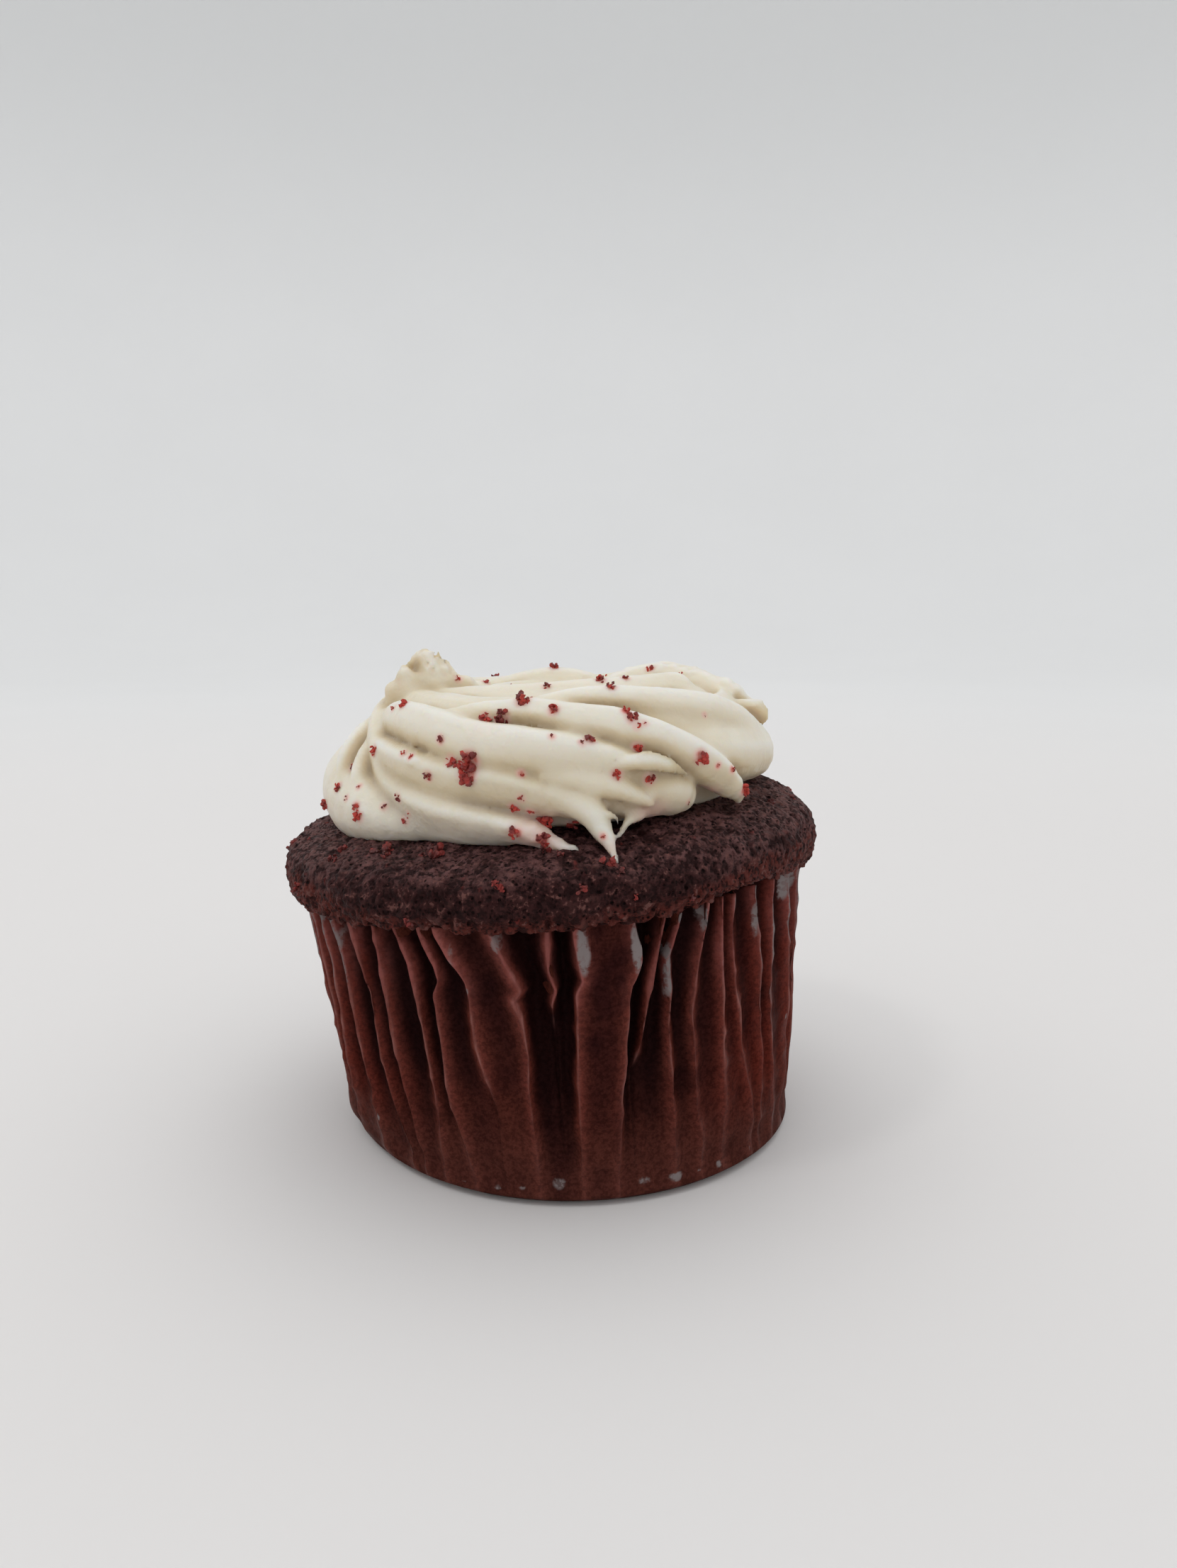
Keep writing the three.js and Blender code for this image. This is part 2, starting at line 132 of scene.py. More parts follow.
class Noise:
    """Smooth repeatable noise, about -1 to 1, over points in millimetres."""

    def __init__(self, seed: int) -> None:
        """Draws the tables that the noise is made from."""
        draw = np.random.default_rng(seed)
        self.order = np.concatenate([draw.permutation(256)] * 2)
        self.values = draw.uniform(-1.0, 1.0, 256)

    def hashed(self, cell: Array) -> Array:
        """A number from 0 to 255 for each lattice cell."""
        low = self.order[cell[..., 0] & 255]
        middle = self.order[low + (cell[..., 1] & 255)]
        return self.order[middle + (cell[..., 2] & 255)]

    def at(self, points: Array, wavelength: Sequence[float]) -> Array:
        """The noise at points.

        Args:
            points: places in millimetres, with x, y and z last.
            wavelength: size of one swelling, as one number or one for each axis.

        Returns:
            One number for each point.
        """
        scaled = np.asarray(points, float) / np.asarray(wavelength, float)
        low = np.floor(scaled).astype(np.int64)
        part = scaled - low
        part = part ** 3 * (part * (part * 6 - 15) + 10)
        total = np.zeros(part.shape[:-1])
        for corner in range(8):
            step = np.array([corner & 1, corner >> 1 & 1, corner >> 2])
            weight = np.prod(np.where(step, part, 1 - part), axis=-1)
            total += weight * self.values[self.hashed(low + step)]
        return total


@dataclass(frozen=True)
class Pores:
    """Round pits scattered over a surface, one at most in each cell of a lattice."""

    spacing: float
    share: float
    smallest: float
    largest: float
    seed: int

    def at(self, points: Array, along: Array, stretch: Array) -> Array:
        """How deep each point lies in a pit, from 0 outside to 1 at the middle.

        Args:
            points: places in millimetres.
            along: unit vectors that long pits follow.
            stretch: how many times longer than wide a pit is, for each point.

        Returns:
            One depth for each point.
        """
        noise = Noise(self.seed)
        cell = np.floor(points / self.spacing).astype(np.int64)
        deepest = np.zeros(len(points))
        for step in np.ndindex(3, 3, 3):
            neighbour = cell + np.array(step) - 1
            code = noise.hashed(neighbour)
            draws = [noise.order[(code + 37 * k) & 255] / 255.0 for k in range(1, 6)]
            centre = (neighbour + np.stack(draws[:3], axis=-1)) * self.spacing
            reach = self.smallest + (self.largest - self.smallest) * draws[3] ** 2
            offset = points - centre
            run = np.sum(offset * along, axis=-1)
            across = np.sum(offset * offset, axis=-1) - run ** 2
            distance = np.sqrt(np.maximum(across + (run / stretch) ** 2, 0.0))
            depth = np.where(draws[4] < self.share, 1.0 - distance / reach, 0.0)
            deepest = np.maximum(deepest, depth)
        return smoothstep(deepest, 0.0, 0.75)


# ---- Meshes ----

@dataclass
class Shell:
    """A surface in millimetres, with values at its corners for its finish to read."""

    points: Array
    faces: List[Tuple[int, ...]]
    values: Dict[str, Array] = field(default_factory=dict)

    def make(self, name: str, finish: Material) -> bpy.types.Object:
        """Makes the Blender object, at the origin, with its place in its mesh.

        Args:
            name: name of the object and of its mesh.
            finish: its material.

        Returns:
            The new object, smooth shaded.
        """
        mesh = bpy.data.meshes.new(name)
        mesh.from_pydata((self.points * MM).tolist(), [], self.faces)
        for title, values in self.values.items():
            layer = mesh.attributes.new(title, "FLOAT", "POINT")
            layer.data.foreach_set("value", np.ascontiguousarray(values, dtype=np.float32))
        mesh.shade_smooth()
        mesh.validate()
        mesh.materials.append(finish)
        return place_in_scene(name, mesh)


def place_in_scene(name: str, data: Optional[bpy.types.ID]) -> bpy.types.Object:
    """Makes an object from its data and links it to the scene."""
    thing = bpy.data.objects.new(name, data)
    bpy.context.scene.collection.objects.link(thing)
    return thing


def wrapped_faces(rows: int, columns: int) -> List[Tuple[int, ...]]:
    """Faces of a tube of rings, closed by a fan round one point at each end.

    Args:
        rows: how many rings there are between the two end points.
        columns: how many points each ring has.

    Returns:
        Corner numbers for points in the order: first end, rings, last end. The rings run
        up the outside, and the faces point outwards.
    """
    last = rows * columns + 1
    ring = np.arange(columns)
    after = (ring + 1) % columns
    faces = [(0, 1 + int(b), 1 + int(a)) for a, b in zip(ring, after)]
    for row in range(rows - 1):
        low = 1 + row * columns
        high = low + columns
        faces += list(zip((low + ring).tolist(), (low + after).tolist(),
                          (high + after).tolist(), (high + ring).tolist()))
    top = last - columns
    faces += [(int(top + a), int(top + b), last) for a, b in zip(ring, after)]
    return faces


def tube_normals(grid: Array) -> Array:
    """Outward unit normals of a grid of rings that closes on itself sideways."""
    sideways = np.roll(grid, -1, axis=1) - np.roll(grid, 1, axis=1)
    return unit(np.cross(sideways, np.gradient(grid, axis=0)))


def surface_net(volume: Array, origin: Array, step: float) -> Shell:
    """Wraps the part of a volume that lies below zero in a closed skin of four-sided faces.

    Args:
        volume: distances on a regular lattice, negative inside.
        origin: place of the first lattice point.
        step: distance between lattice points.

    Returns:
        The skin, with one corner for each lattice cell that it passes through.
    """
    cells = tuple(size - 1 for size in volume.shape)
    total = np.zeros((int(np.prod(cells)), 3))
    count = np.zeros(int(np.prod(cells)))
    inside = volume < 0
    quads = []
    for axis in range(3):
        low = [slice(None)] * 3
        high = [slice(None)] * 3
        low[axis] = slice(None, -1)
        high[axis] = slice(1, None)
        edge = np.argwhere(inside[tuple(low)] != inside[tuple(high)])
        first = volume[tuple(low)][tuple(edge.T)]
        second = volume[tuple(high)][tuple(edge.T)]
        crossing = edge.astype(float)
        crossing[:, axis] += first / (first - second)
        side_a, side_b = (axis + 1) % 3, (axis + 2) % 3
        corners = []
        for back_a, back_b in ((0, 0), (1, 0), (1, 1), (0, 1)):
            cell = edge.copy()
            cell[:, side_a] -= back_a
            cell[:, side_b] -= back_b
            flat = np.ravel_multi_index(tuple(cell.T), cells, mode="clip")
            corners.append(flat)
            count += np.bincount(flat, minlength=len(count))
            for k in range(3):
                total[:, k] += np.bincount(flat, weights=crossing[:, k], minlength=len(count))
        quad = np.stack(corners, axis=-1)
        quads.append(np.where((first < second)[:, None], quad, quad[:, ::-1]))
    used = np.flatnonzero(count)
    number = np.full(len(count), -1)
    number[used] = np.arange(len(used))
    points = origin + step * total[used] / count[used, None]
    return Shell(points, number[np.vstack(quads)])


def edges_of(quads: Array) -> Array:
    """Pairs of corners that share an edge, each pair once."""
    pairs = np.vstack([quads[:, [k, (k + 1) % 4]] for k in range(4)])
    return np.unique(np.sort(pairs, axis=1), axis=0)


def largest_part(skin: Shell) -> Shell:
    """The largest connected part of a skin of four-sided faces.

    Args:
        skin: what is searched.

    Returns:
        That part, as a skin of its own.
    """
    edges = edges_of(skin.faces)
    label = np.arange(len(skin.points))
    while True:
        lowest = label.copy()
        np.minimum.at(lowest, edges[:, 0], label[edges[:, 1]])
        np.minimum.at(lowest, edges[:, 1], label[edges[:, 0]])
        lowest = lowest[lowest]
        if np.array_equal(lowest, label):
            break
        label = lowest
    keep = label == np.bincount(label).argmax()
    number = np.cumsum(keep) - 1
    faces = skin.faces[keep[skin.faces[:, 0]]]
    return Shell(skin.points[keep], number[faces])


def corner_normals(points: Array, quads: Array) -> Array:
    """The mean normal of the four-sided faces round each corner.

    Args:
        points: the corners.
        quads: the faces.

    Returns:
        One unit vector for each corner.
    """
    across = points[quads[:, 2]] - points[quads[:, 0]]
    normal = np.cross(across, points[quads[:, 3]] - points[quads[:, 1]])
    total = [np.bincount(quads.ravel(), weights=np.repeat(part, 4), minlength=len(points))
             for part in normal.T]
    return unit(np.stack(total, axis=-1))


def neighbour_mean(values: Array, edges: Array, passes: int = 1) -> Array:
    """The mean of each corner's neighbours, taken once or pass after pass.

    Args:
        values: one row for each corner.
        edges: pairs of corners.
        passes: how many times it is taken.

    Returns:
        The means, in the shape of `values`.
    """
    shape, size = values.shape, len(values)
    shares = np.maximum(np.bincount(edges.ravel(), minlength=size), 1)
    for _ in range(passes):
        columns = []
        for column in values.reshape(size, -1).T:
            total = np.bincount(edges[:, 0], weights=column[edges[:, 1]], minlength=size)
            total += np.bincount(edges[:, 1], weights=column[edges[:, 0]], minlength=size)
            columns.append(total / shares)
        values = np.stack(columns, axis=-1)
    return values.reshape(shape)


# ---- Forms that pieces share ----

@dataclass(frozen=True)
class Lean:
    """How the case and the cake lean a little to -X, and are higher on their +X side."""

    shift: float = -0.066
    tilt: float = 0.00214

    def settle(self, points: Array) -> Array:
        """Upright points, leant and tilted.

        Args:
            points: places in millimetres.

        Returns:
            Their places in the object.
        """
        settled = np.array(points, float)
        settled[..., 0] += self.shift * settled[..., 2]
        settled[..., 2] *= 1.0 + self.tilt * settled[..., 0]
        return settled


@dataclass(frozen=True)
class CakeForm:
    """The cake's own form, before its crumb and pores."""

    underside: float = 30.5
    lip_radius: float = 30.75
    lip_height: float = 32.2
    lip_hang: float = 27.8
    front_lift: float = 2.3
    # azimuth, width in degrees and height of the places where the lip's edge is drawn up
    notches: Knots = ((44, 15, 1.35), (-25, 9, 0.75), (-4, 9, 0.35), (-80, 10, 1.3), (76, 11, 1.3))
    tuck_azimuth: float = 92.0
    tuck_depth: float = 1.1
    front_dip: float = 2.7
    dip_azimuth: float = -15.0
    lump: float = 0.28
    lean: Lean = Lean()
    dome: Knots = (
        (30.75, 32.2), (30.5, 34), (29.7, 35.7), (28, 37), (25.5, 38.1), (22, 39.1), (14, 40.6),
        (7, 41.2), (0, 41.4),
    )

    def lip_edge(self, azimuth: Array) -> Array:
        """Height of the lip's lower edge at azimuths between -180 and 180.

        Args:
            azimuth: directions in degrees.

        Returns:
            One height for each of them.
        """
        front = 1.0 - smoothstep(np.abs(azimuth), 58.0, 82.0)
        edge = self.lip_hang + self.front_lift * front
        for place, width, lift in self.notches:
            edge = edge + lift * np.exp(-((azimuth - place) / width) ** 2)
        return edge

    def lip_tuck(self, azimuth: Array) -> Array:
        """How far the lip's edge is drawn in, which it is on the +X side."""
        return self.tuck_depth * smoothstep(np.abs(azimuth - self.tuck_azimuth), 44.0, 16.0)

    def swelling(self, azimuth: Array, row: Array) -> Array:
        """Low uneven swelling of the baked surface.

        Args:
            azimuth: directions in degrees.
            row: places along the section.

        Returns:
            How far it rises.
        """
        angle = np.radians(azimuth)
        slow = np.sin(3 * angle + 1.1) + 0.7 * np.sin(5 * angle + row * 0.9)
        quick = 0.8 * np.sin(11 * angle + row * 2.1) + 0.5 * np.sin(23 * angle - row)
        return self.lump * (slow + quick) / 2.0

    def dip(self, azimuth: Array, radius: Array) -> Array:
        """How far the dome sinks towards the front."""
        share = np.minimum(radius / self.lip_radius, 1.0)
        towards = np.maximum(np.cos(np.radians(azimuth - self.dip_azimuth)), 0.0)
        return self.front_dip * towards * share * (1.0 - share ** 4)

    def baked(self, azimuth: Array, radius: Array, height: Array, row: Array) -> Array:
        """Points of the dome or lip.

        Args:
            azimuth: direction of each point, in degrees.
            radius: distance from the upright axis.
            height: height in the upright section.
            row: place along the section, counted from the lip's edge.

        Returns:
            Points in the object's own frame.
        """
        swollen = self.swelling(azimuth, row) * np.minimum(radius / 6.0, 1.0)
        points = outward(azimuth) * (radius + swollen * 0.6)[..., None]
        above = smoothstep(height, self.lip_height - 1.0, self.lip_height + 1.0)
        points[..., 2] = height + swollen * 0.5 - above * self.dip(azimuth, radius)
        return self.lean.settle(points)

    def top_at(self, x: Array, y: Array) -> Array:
        """Height of the dome over places in the object's own frame.

        Args:
            x: places from left to right.
            y: places from front to back.

        Returns:
            One height for each place.
        """
        radii, heights = np.array(self.dome[::-1]).T
        rows = np.arange(1, len(self.dome) + 1)[::-1]
        height = np.full(np.shape(x), 38.0)
        for _ in range(3):
            upright = x - self.lean.shift * height
            radius = np.minimum(np.hypot(upright, y), self.lip_radius)
            azimuth = np.degrees(np.arctan2(upright, -y))
            row = np.interp(radius, radii, rows)
            height = self.baked(azimuth, radius, np.interp(radius, radii, heights), row)[..., 2]
        return height


@dataclass(frozen=True)
class SwirlForm:
    """The smooth form that the crests of the swirl lie on."""

    centre_x: float = -0.6
    radius: float = 24.3
    waist: float = 42.0
    top: float = 54.6
    by_height: float = 3.2
    by_radius: float = 2.6
    tuck: float = 0.045
    core_inset: float = 2.5
    core_top: float = 51.2

    def radius_at(self, height: Array) -> Array:
        """Radius of the form at heights.

        Args:
            height: heights above the ground.

        Returns:
            One radius for each.
        """
        height = np.asarray(height, float)
        share = np.clip((height - self.waist) / (self.top - self.waist), 0.0, 1.0)
        upper = self.radius * (1.0 - share ** self.by_height) ** (1.0 / self.by_radius)
        lower = self.radius - self.tuck * (self.waist - height) ** 2
        return np.where(height > self.waist, upper, lower)

    def place(self, azimuth: Array, height: Array) -> Tuple[Array, Array]:
        """Points and outward unit normals of the form at azimuths and heights.

        Args:
            azimuth: directions in degrees.
            height: heights above the ground.

        Returns:
            The points, and their normals.
        """
        step = 0.05
        rise = self.radius_at(height + step) - self.radius_at(height - step)
        point = outward(azimuth) * self.radius_at(height)[..., None]
        point[..., 0] += self.centre_x
        point[..., 2] = height
        normal = outward(azimuth)
        normal[..., 2] = -rise / (2 * step)
        return point, unit(normal)


# ---- Shader nodes ----

class Sheet:
    """Lays out nodes in a material or in a node group."""

    def __init__(self, tree: bpy.types.NodeTree) -> None:
        """Starts on an empty tree."""
        self.tree = tree
        tree.nodes.clear()

    def add(self, kind: str, inputs: Optional[Dict[str, object]] = None,
            **settings: object) -> bpy.types.Node:
        """Adds a node.

        Args:
            kind: the node's type.
            inputs: for each input, by name or number, a value or the socket that feeds it.
            **settings: the node's own properties.

        Returns:
            The new node.
        """
        node = self.tree.nodes.new(kind)
        for title, value in settings.items():
            setattr(node, title, value)
        for title, value in (inputs or {}).items():
            self.feed(node.inputs[title], value)
        return node

    def feed(self, socket: Socket, value: object) -> None:
        """Sets an input to a value, or links the socket that feeds it.

        Args:
            socket: the input.
            value: a value or a socket.
        """
        if isinstance(value, Socket):
            self.tree.links.new(value, socket)
        else:
            socket.default_value = value

    def math(self, operation: str, *values: object) -> Socket:
        """The result of a Math node."""
        node = self.add("ShaderNodeMath", dict(enumerate(values)), operation=operation)
        return node.outputs[0]

    def times(self, first: object, second: object) -> Socket:
        """Two numbers multiplied."""
        return self.math("MULTIPLY", first, second)

    def height(self, where: Socket) -> Socket:
        """The height above the ground of a place in metres."""
        return self.add("ShaderNodeSeparateXYZ", {"Vector": where}).outputs["Z"]

    def between(self, value: object, low: float, high: float, out_low: float = 0.0,
                out_high: float = 1.0) -> Socket:
        """A value brought smoothly from one range to another.

        Args:
            value: what is brought over.
            low: start of its range.
            high: end of its range.
            out_low: start of the new range.
            out_high: end of the new range.

        Returns:
            The new value.
        """
        node = self.add("ShaderNodeMapRange", {
            "Value": value, "From Min": low, "From Max": high, "To Min": out_low,
            "To Max": out_high}, interpolation_type="SMOOTHSTEP")
        return node.outputs["Result"]

    def blend(self, factor: object, first: object, second: object, mode: str = "MIX") -> Socket:
        """Two colours mixed.

        Args:
            factor: how much of the second colour shows.
            first: the colour below.
            second: the colour above.
            mode: how they are mixed.

        Returns:
            The mixed colour.
        """
        node = self.add("ShaderNodeMix", data_type="RGBA", blend_type=mode)
        sockets = {socket.identifier: socket for socket in node.inputs}
        self.feed(sockets["Factor_Float"], factor)
        self.feed(sockets["A_Color"], first)
        self.feed(sockets["B_Color"], second)
        return next(socket for socket in node.outputs if socket.identifier == "Result_Color")

    def attribute(self, title: str) -> Socket:
        """A value that the mesh keeps at its corners."""
        return self.add("ShaderNodeAttribute", attribute_name=title).outputs["Fac"]

    def place(self) -> Socket:
        """Object coordinates."""
        return self.add("ShaderNodeTexCoord").outputs["Object"]


class EffectGroup:
    """A node group that several finishes use."""

    def __init__(self, title: str, inputs: Dict[str, float], outputs: Sequence[str]) -> None:
        """Makes the group with a vector input, number inputs and number outputs.

        Args:
            title: name of the group.
            inputs: its number inputs, with their values.
            outputs: its number outputs.
        """
        self.tree = bpy.data.node_groups.new(title, "ShaderNodeTree")
        self.sheet = Sheet(self.tree)
        self.tree.interface.new_socket("Vector", in_out="INPUT", socket_type="NodeSocketVector")
        for name, value in inputs.items():
            socket = self.tree.interface.new_socket(
                name, in_out="INPUT", socket_type="NodeSocketFloat")
            socket.default_value = value
        for name in outputs:
            self.tree.interface.new_socket(name, in_out="OUTPUT", socket_type="NodeSocketFloat")
        self.given = self.sheet.add("NodeGroupInput").outputs
        self.result = self.sheet.add("NodeGroupOutput")

    def give(self, name: str, value: Socket) -> None:
        """Sends a value out of the group."""
        self.sheet.feed(self.result.inputs[name], value)

    def use(self, sheet: Sheet, vector: Socket, **values: float) -> bpy.types.bpy_prop_collection:
        """Places the group in a material.

        Args:
            sheet: the material's sheet.
            vector: coordinates in metres.
            **values: the group's number inputs, with underscores for spaces.

        Returns:
            The outputs of the placed group.
        """
        node = sheet.add("ShaderNodeGroup", node_tree=self.tree)
        sheet.feed(node.inputs["Vector"], vector)
        for name, value in values.items():
            sheet.feed(node.inputs[name.replace("_", " ")], value)
        return node.outputs


class Effects:
    """The shared effects: mottling, fine grain, small pits and drawn-out streaks."""

    def __init__(self) -> None:
        """Builds each group once."""
        self.mottle = self._mottle()
        self.grain = self._grain()
        self.pits = self._pits()
        self.streaks = self._streaks()

    @staticmethod
    def _mottle() -> EffectGroup:
        """Soft uneven patches.

        Returns:
            The group.
        """
        group = EffectGroup("mottle", {"Scale": 200.0, "Low": 0.35, "High": 0.65}, ["Mask"])
        noise = group.sheet.add("ShaderNodeTexNoise", {
            "Vector": group.given["Vector"], "Scale": group.given["Scale"],
            "Detail": 3.0, "Roughness": 0.55})
        group.give("Mask", group.sheet.between(
            noise.outputs["Fac"], group.given["Low"], group.given["High"]))
        return group

    @staticmethod
    def _grain() -> EffectGroup:
        """Fine grain of two sizes, as a height.

        Returns:
            The group.
        """
        group = EffectGroup("grain", {"Scale": 1500.0, "Coarse Share": 0.5}, ["Height"])
        fine = group.sheet.add("ShaderNodeTexNoise", {
            "Vector": group.given["Vector"], "Scale": group.given["Scale"], "Detail": 2.0})
        wide = group.sheet.times(group.given["Scale"], 0.33)
        coarse = group.sheet.add("ShaderNodeTexNoise", {
            "Vector": group.given["Vector"], "Scale": wide, "Detail": 2.0})
        share = group.given["Coarse Share"]
        low = group.sheet.times(coarse.outputs["Fac"], share)
        rest = group.sheet.math("SUBTRACT", 1.0, share)
        high = group.sheet.times(fine.outputs["Fac"], rest)
        group.give("Height", group.sheet.math("ADD", low, high))
        return group

    @staticmethod
    def _pits() -> EffectGroup:
        """Small round pits, as a mask that is 1 in a pit.

        Returns:
            The group.
        """
        group = EffectGroup("pits", {"Scale": 1800.0, "Width": 0.3}, ["Mask"])
        cells = group.sheet.add("ShaderNodeTexVoronoi", {
            "Vector": group.given["Vector"], "Scale": group.given["Scale"]})
        group.give("Mask", group.sheet.between(
            cells.outputs["Distance"], group.given["Width"], 0.05))
        return group

    @staticmethod
    def _streaks() -> EffectGroup:
        """Fine streaks that are drawn out along Z.

        Returns:
            The group.
        """
        group = EffectGroup("streaks", {"Scale": 900.0, "Length": 8.0}, ["Mask"])
        short = group.sheet.math("DIVIDE", 1.0, group.given["Length"])
        squeeze = group.sheet.add("ShaderNodeCombineXYZ", {"X": 1.0, "Y": 1.0, "Z": short})
        vector = group.sheet.add("ShaderNodeVectorMath", {
            0: group.given["Vector"], 1: squeeze.outputs[0]}, operation="MULTIPLY")
        noise = group.sheet.add("ShaderNodeTexNoise", {
            "Vector": vector.outputs[0], "Scale": group.given["Scale"], "Detail": 3.0})
        group.give("Mask", group.sheet.between(noise.outputs["Fac"], 0.38, 0.68))
        return group


class Finish:
    """A material that is built from nodes and ends in a Principled shader."""

    def __init__(self, title: str) -> None:
        """Starts the material with its shader and its output.

        Args:
            title: name of the material.
        """
        self.material = bpy.data.materials.new(title)
        self.material.use_nodes = True
        self.sheet = Sheet(self.material.node_tree)
        self.shader = self.sheet.add("ShaderNodeBsdfPrincipled")
        output = self.sheet.add("ShaderNodeOutputMaterial")
        self.sheet.feed(output.inputs["Surface"], self.shader.outputs["BSDF"])
        self.where = self.sheet.place()

    def set(self, **values: object) -> None:
        """Sets or links the shader's inputs, with underscores for spaces."""
        for name, value in values.items():
            self.sheet.feed(self.shader.inputs[name.replace("_", " ")], value)

    def bump(self, height: Socket, depth: float, strength: float = 1.0,
             under: Optional[Socket] = None) -> Socket:
        """A Bump node's normal.

        Args:
            height: the height, from 0 to 1.
            depth: how many metres a height of 1 stands proud.
            strength: how much of the bump shows.
            under: the normal of another bump below this one.

        Returns:
            The normal socket.
        """
        inputs = {"Height": height, "Distance": depth, "Strength": strength}
        if under is not None:
            inputs["Normal"] = under
        return self.sheet.add("ShaderNodeBump", inputs).outputs["Normal"]


def shade(red: float, green: float, blue: float) -> Colour:
    """A linear colour."""
    return (red, green, blue, 1.0)


@dataclass(frozen=True)
class PaperFinish:
    """Greaseproof paper soaked a dark red-brown by the cake, dry and pale near the rim, with
    painted shade in its valleys and painted light on its ridges.
    """

    soaked: Colour = shade(0.112, 0.029, 0.0195)
    soaked_dark: Colour = shade(0.072, 0.018, 0.013)
    side: Colour = shade(0.16, 0.023, 0.013)
    foot: Colour = shade(0.132, 0.042, 0.031)
    # painted light on the ridges' flanks, where the paper also stands off the dark cake
    flank: Colour = shade(0.172, 0.035, 0.0235)
    # painted shade between the ridges and in dents, deepest near the rim under the lip
    dim: Colour = shade(0.025, 0.0064, 0.0062)
    # painted shade in the valleys, with the dark cake close behind the paper
    valley: Colour = shade(0.013, 0.004, 0.004)
    # painted highlight along the ridge crests, partly drier paper fibres
    edge: Colour = shade(0.3, 0.125, 0.108)
    # painted pink sheen on the ridges near the rim
    pink: Colour = shade(0.28, 0.082, 0.072)
    # dry paper, and painted sheen along the ridges of the sides
    dry: Colour = shade(0.22, 0.185, 0.182)
    speckled: Colour = shade(0.42, 0.38, 0.38)
    dusty: Colour = shade(0.62, 0.58, 0.58)
    roughness: float = 0.42

    def build(self, effects: Effects) -> Material:
        """Builds the material from the shared effects.

        Args:
            effects: the effects that finishes share.

        Returns:
            The material.
        """
        finish = Finish("soaked_paper")
        sheet, where = finish.sheet, finish.where
        patches = effects.mottle.use(sheet, where, Scale=260.0, Low=0.32, High=0.66)["Mask"]
        speckle = effects.mottle.use(sheet, where, Scale=2300.0, Low=0.42, High=0.62)["Mask"]
        dust = effects.mottle.use(sheet, where, Scale=5200.0, Low=0.38, High=0.62)["Mask"]
        veins = effects.mottle.use(sheet, where, Scale=1500.0, Low=0.40, High=0.56)["Mask"]
        fibres = effects.streaks.use(sheet, where, Scale=1400.0, Length=5.0)["Mask"]
        grain = effects.grain.use(sheet, where, Scale=2600.0, Coarse_Share=0.6)["Height"]
        flank, edge, dim, sunk, pink, dry, side = (
            sheet.attribute(name)
            for name in ("flank", "edge", "dim", "sunk", "pink", "dry", "side"))
        base = sheet.blend(patches, self.soaked, self.soaked_dark)
        # painted light on the ridges' flanks, partly paper standing off the cake
        base = sheet.blend(sheet.times(flank, 0.85), base, self.flank)
        near_foot = sheet.between(sheet.height(where), 0.012, 0.003, 0.0, 0.6)
        base = sheet.blend(near_foot, base, self.foot)
        base = sheet.blend(sheet.times(side, 0.75), base, self.side)
        # painted shade between the ridges and in dents
        base = sheet.blend(sheet.times(dim, 0.9), base, self.dim)
        # painted shade in the valleys, partly the dark cake behind the paper
        base = sheet.blend(sheet.between(sunk, 0.15, 0.85, 0.0, 0.96), base, self.valley)
        base = sheet.blend(sheet.times(speckle, 0.6), base, self.speckled, "MULTIPLY")
        base = sheet.blend(sheet.times(dust, 0.55), base, self.dusty, "MULTIPLY")
        # painted highlight along the ridge crests, broken by the fibres
        ridge_line_sheen = sheet.times(edge, sheet.between(fibres, 0.0, 1.0, 0.3, 0.85))
        base = sheet.blend(ridge_line_sheen, base, self.edge)
        # painted sheen near the rim
        rim_sheen = sheet.times(pink, sheet.between(veins, 0.0, 1.0, 0.55, 1.0))
        base = sheet.blend(rim_sheen, base, self.pink)
        # dry patches, and painted sheen along the ridges of the sides
        parched = sheet.times(dry, sheet.between(veins, 0.0, 1.0, 0.75, 1.15))
        base = sheet.blend(sheet.between(parched, 0.25, 0.9), base, self.dry)
        rough = sheet.between(patches, 0.0, 1.0, self.roughness - 0.07, self.roughness + 0.1)
        sheen = sheet.between(sheet.math("MAXIMUM", edge, flank), 0.0, 1.0, 0.01, 0.07)
        creased = finish.bump(patches, 0.00012, 0.5)
        finish.set(Base_Color=base, Roughness=rough, Specular_IOR_Level=sheen,
                   Normal=finish.bump(grain, 0.00005, 0.5, creased))
        return finish.material


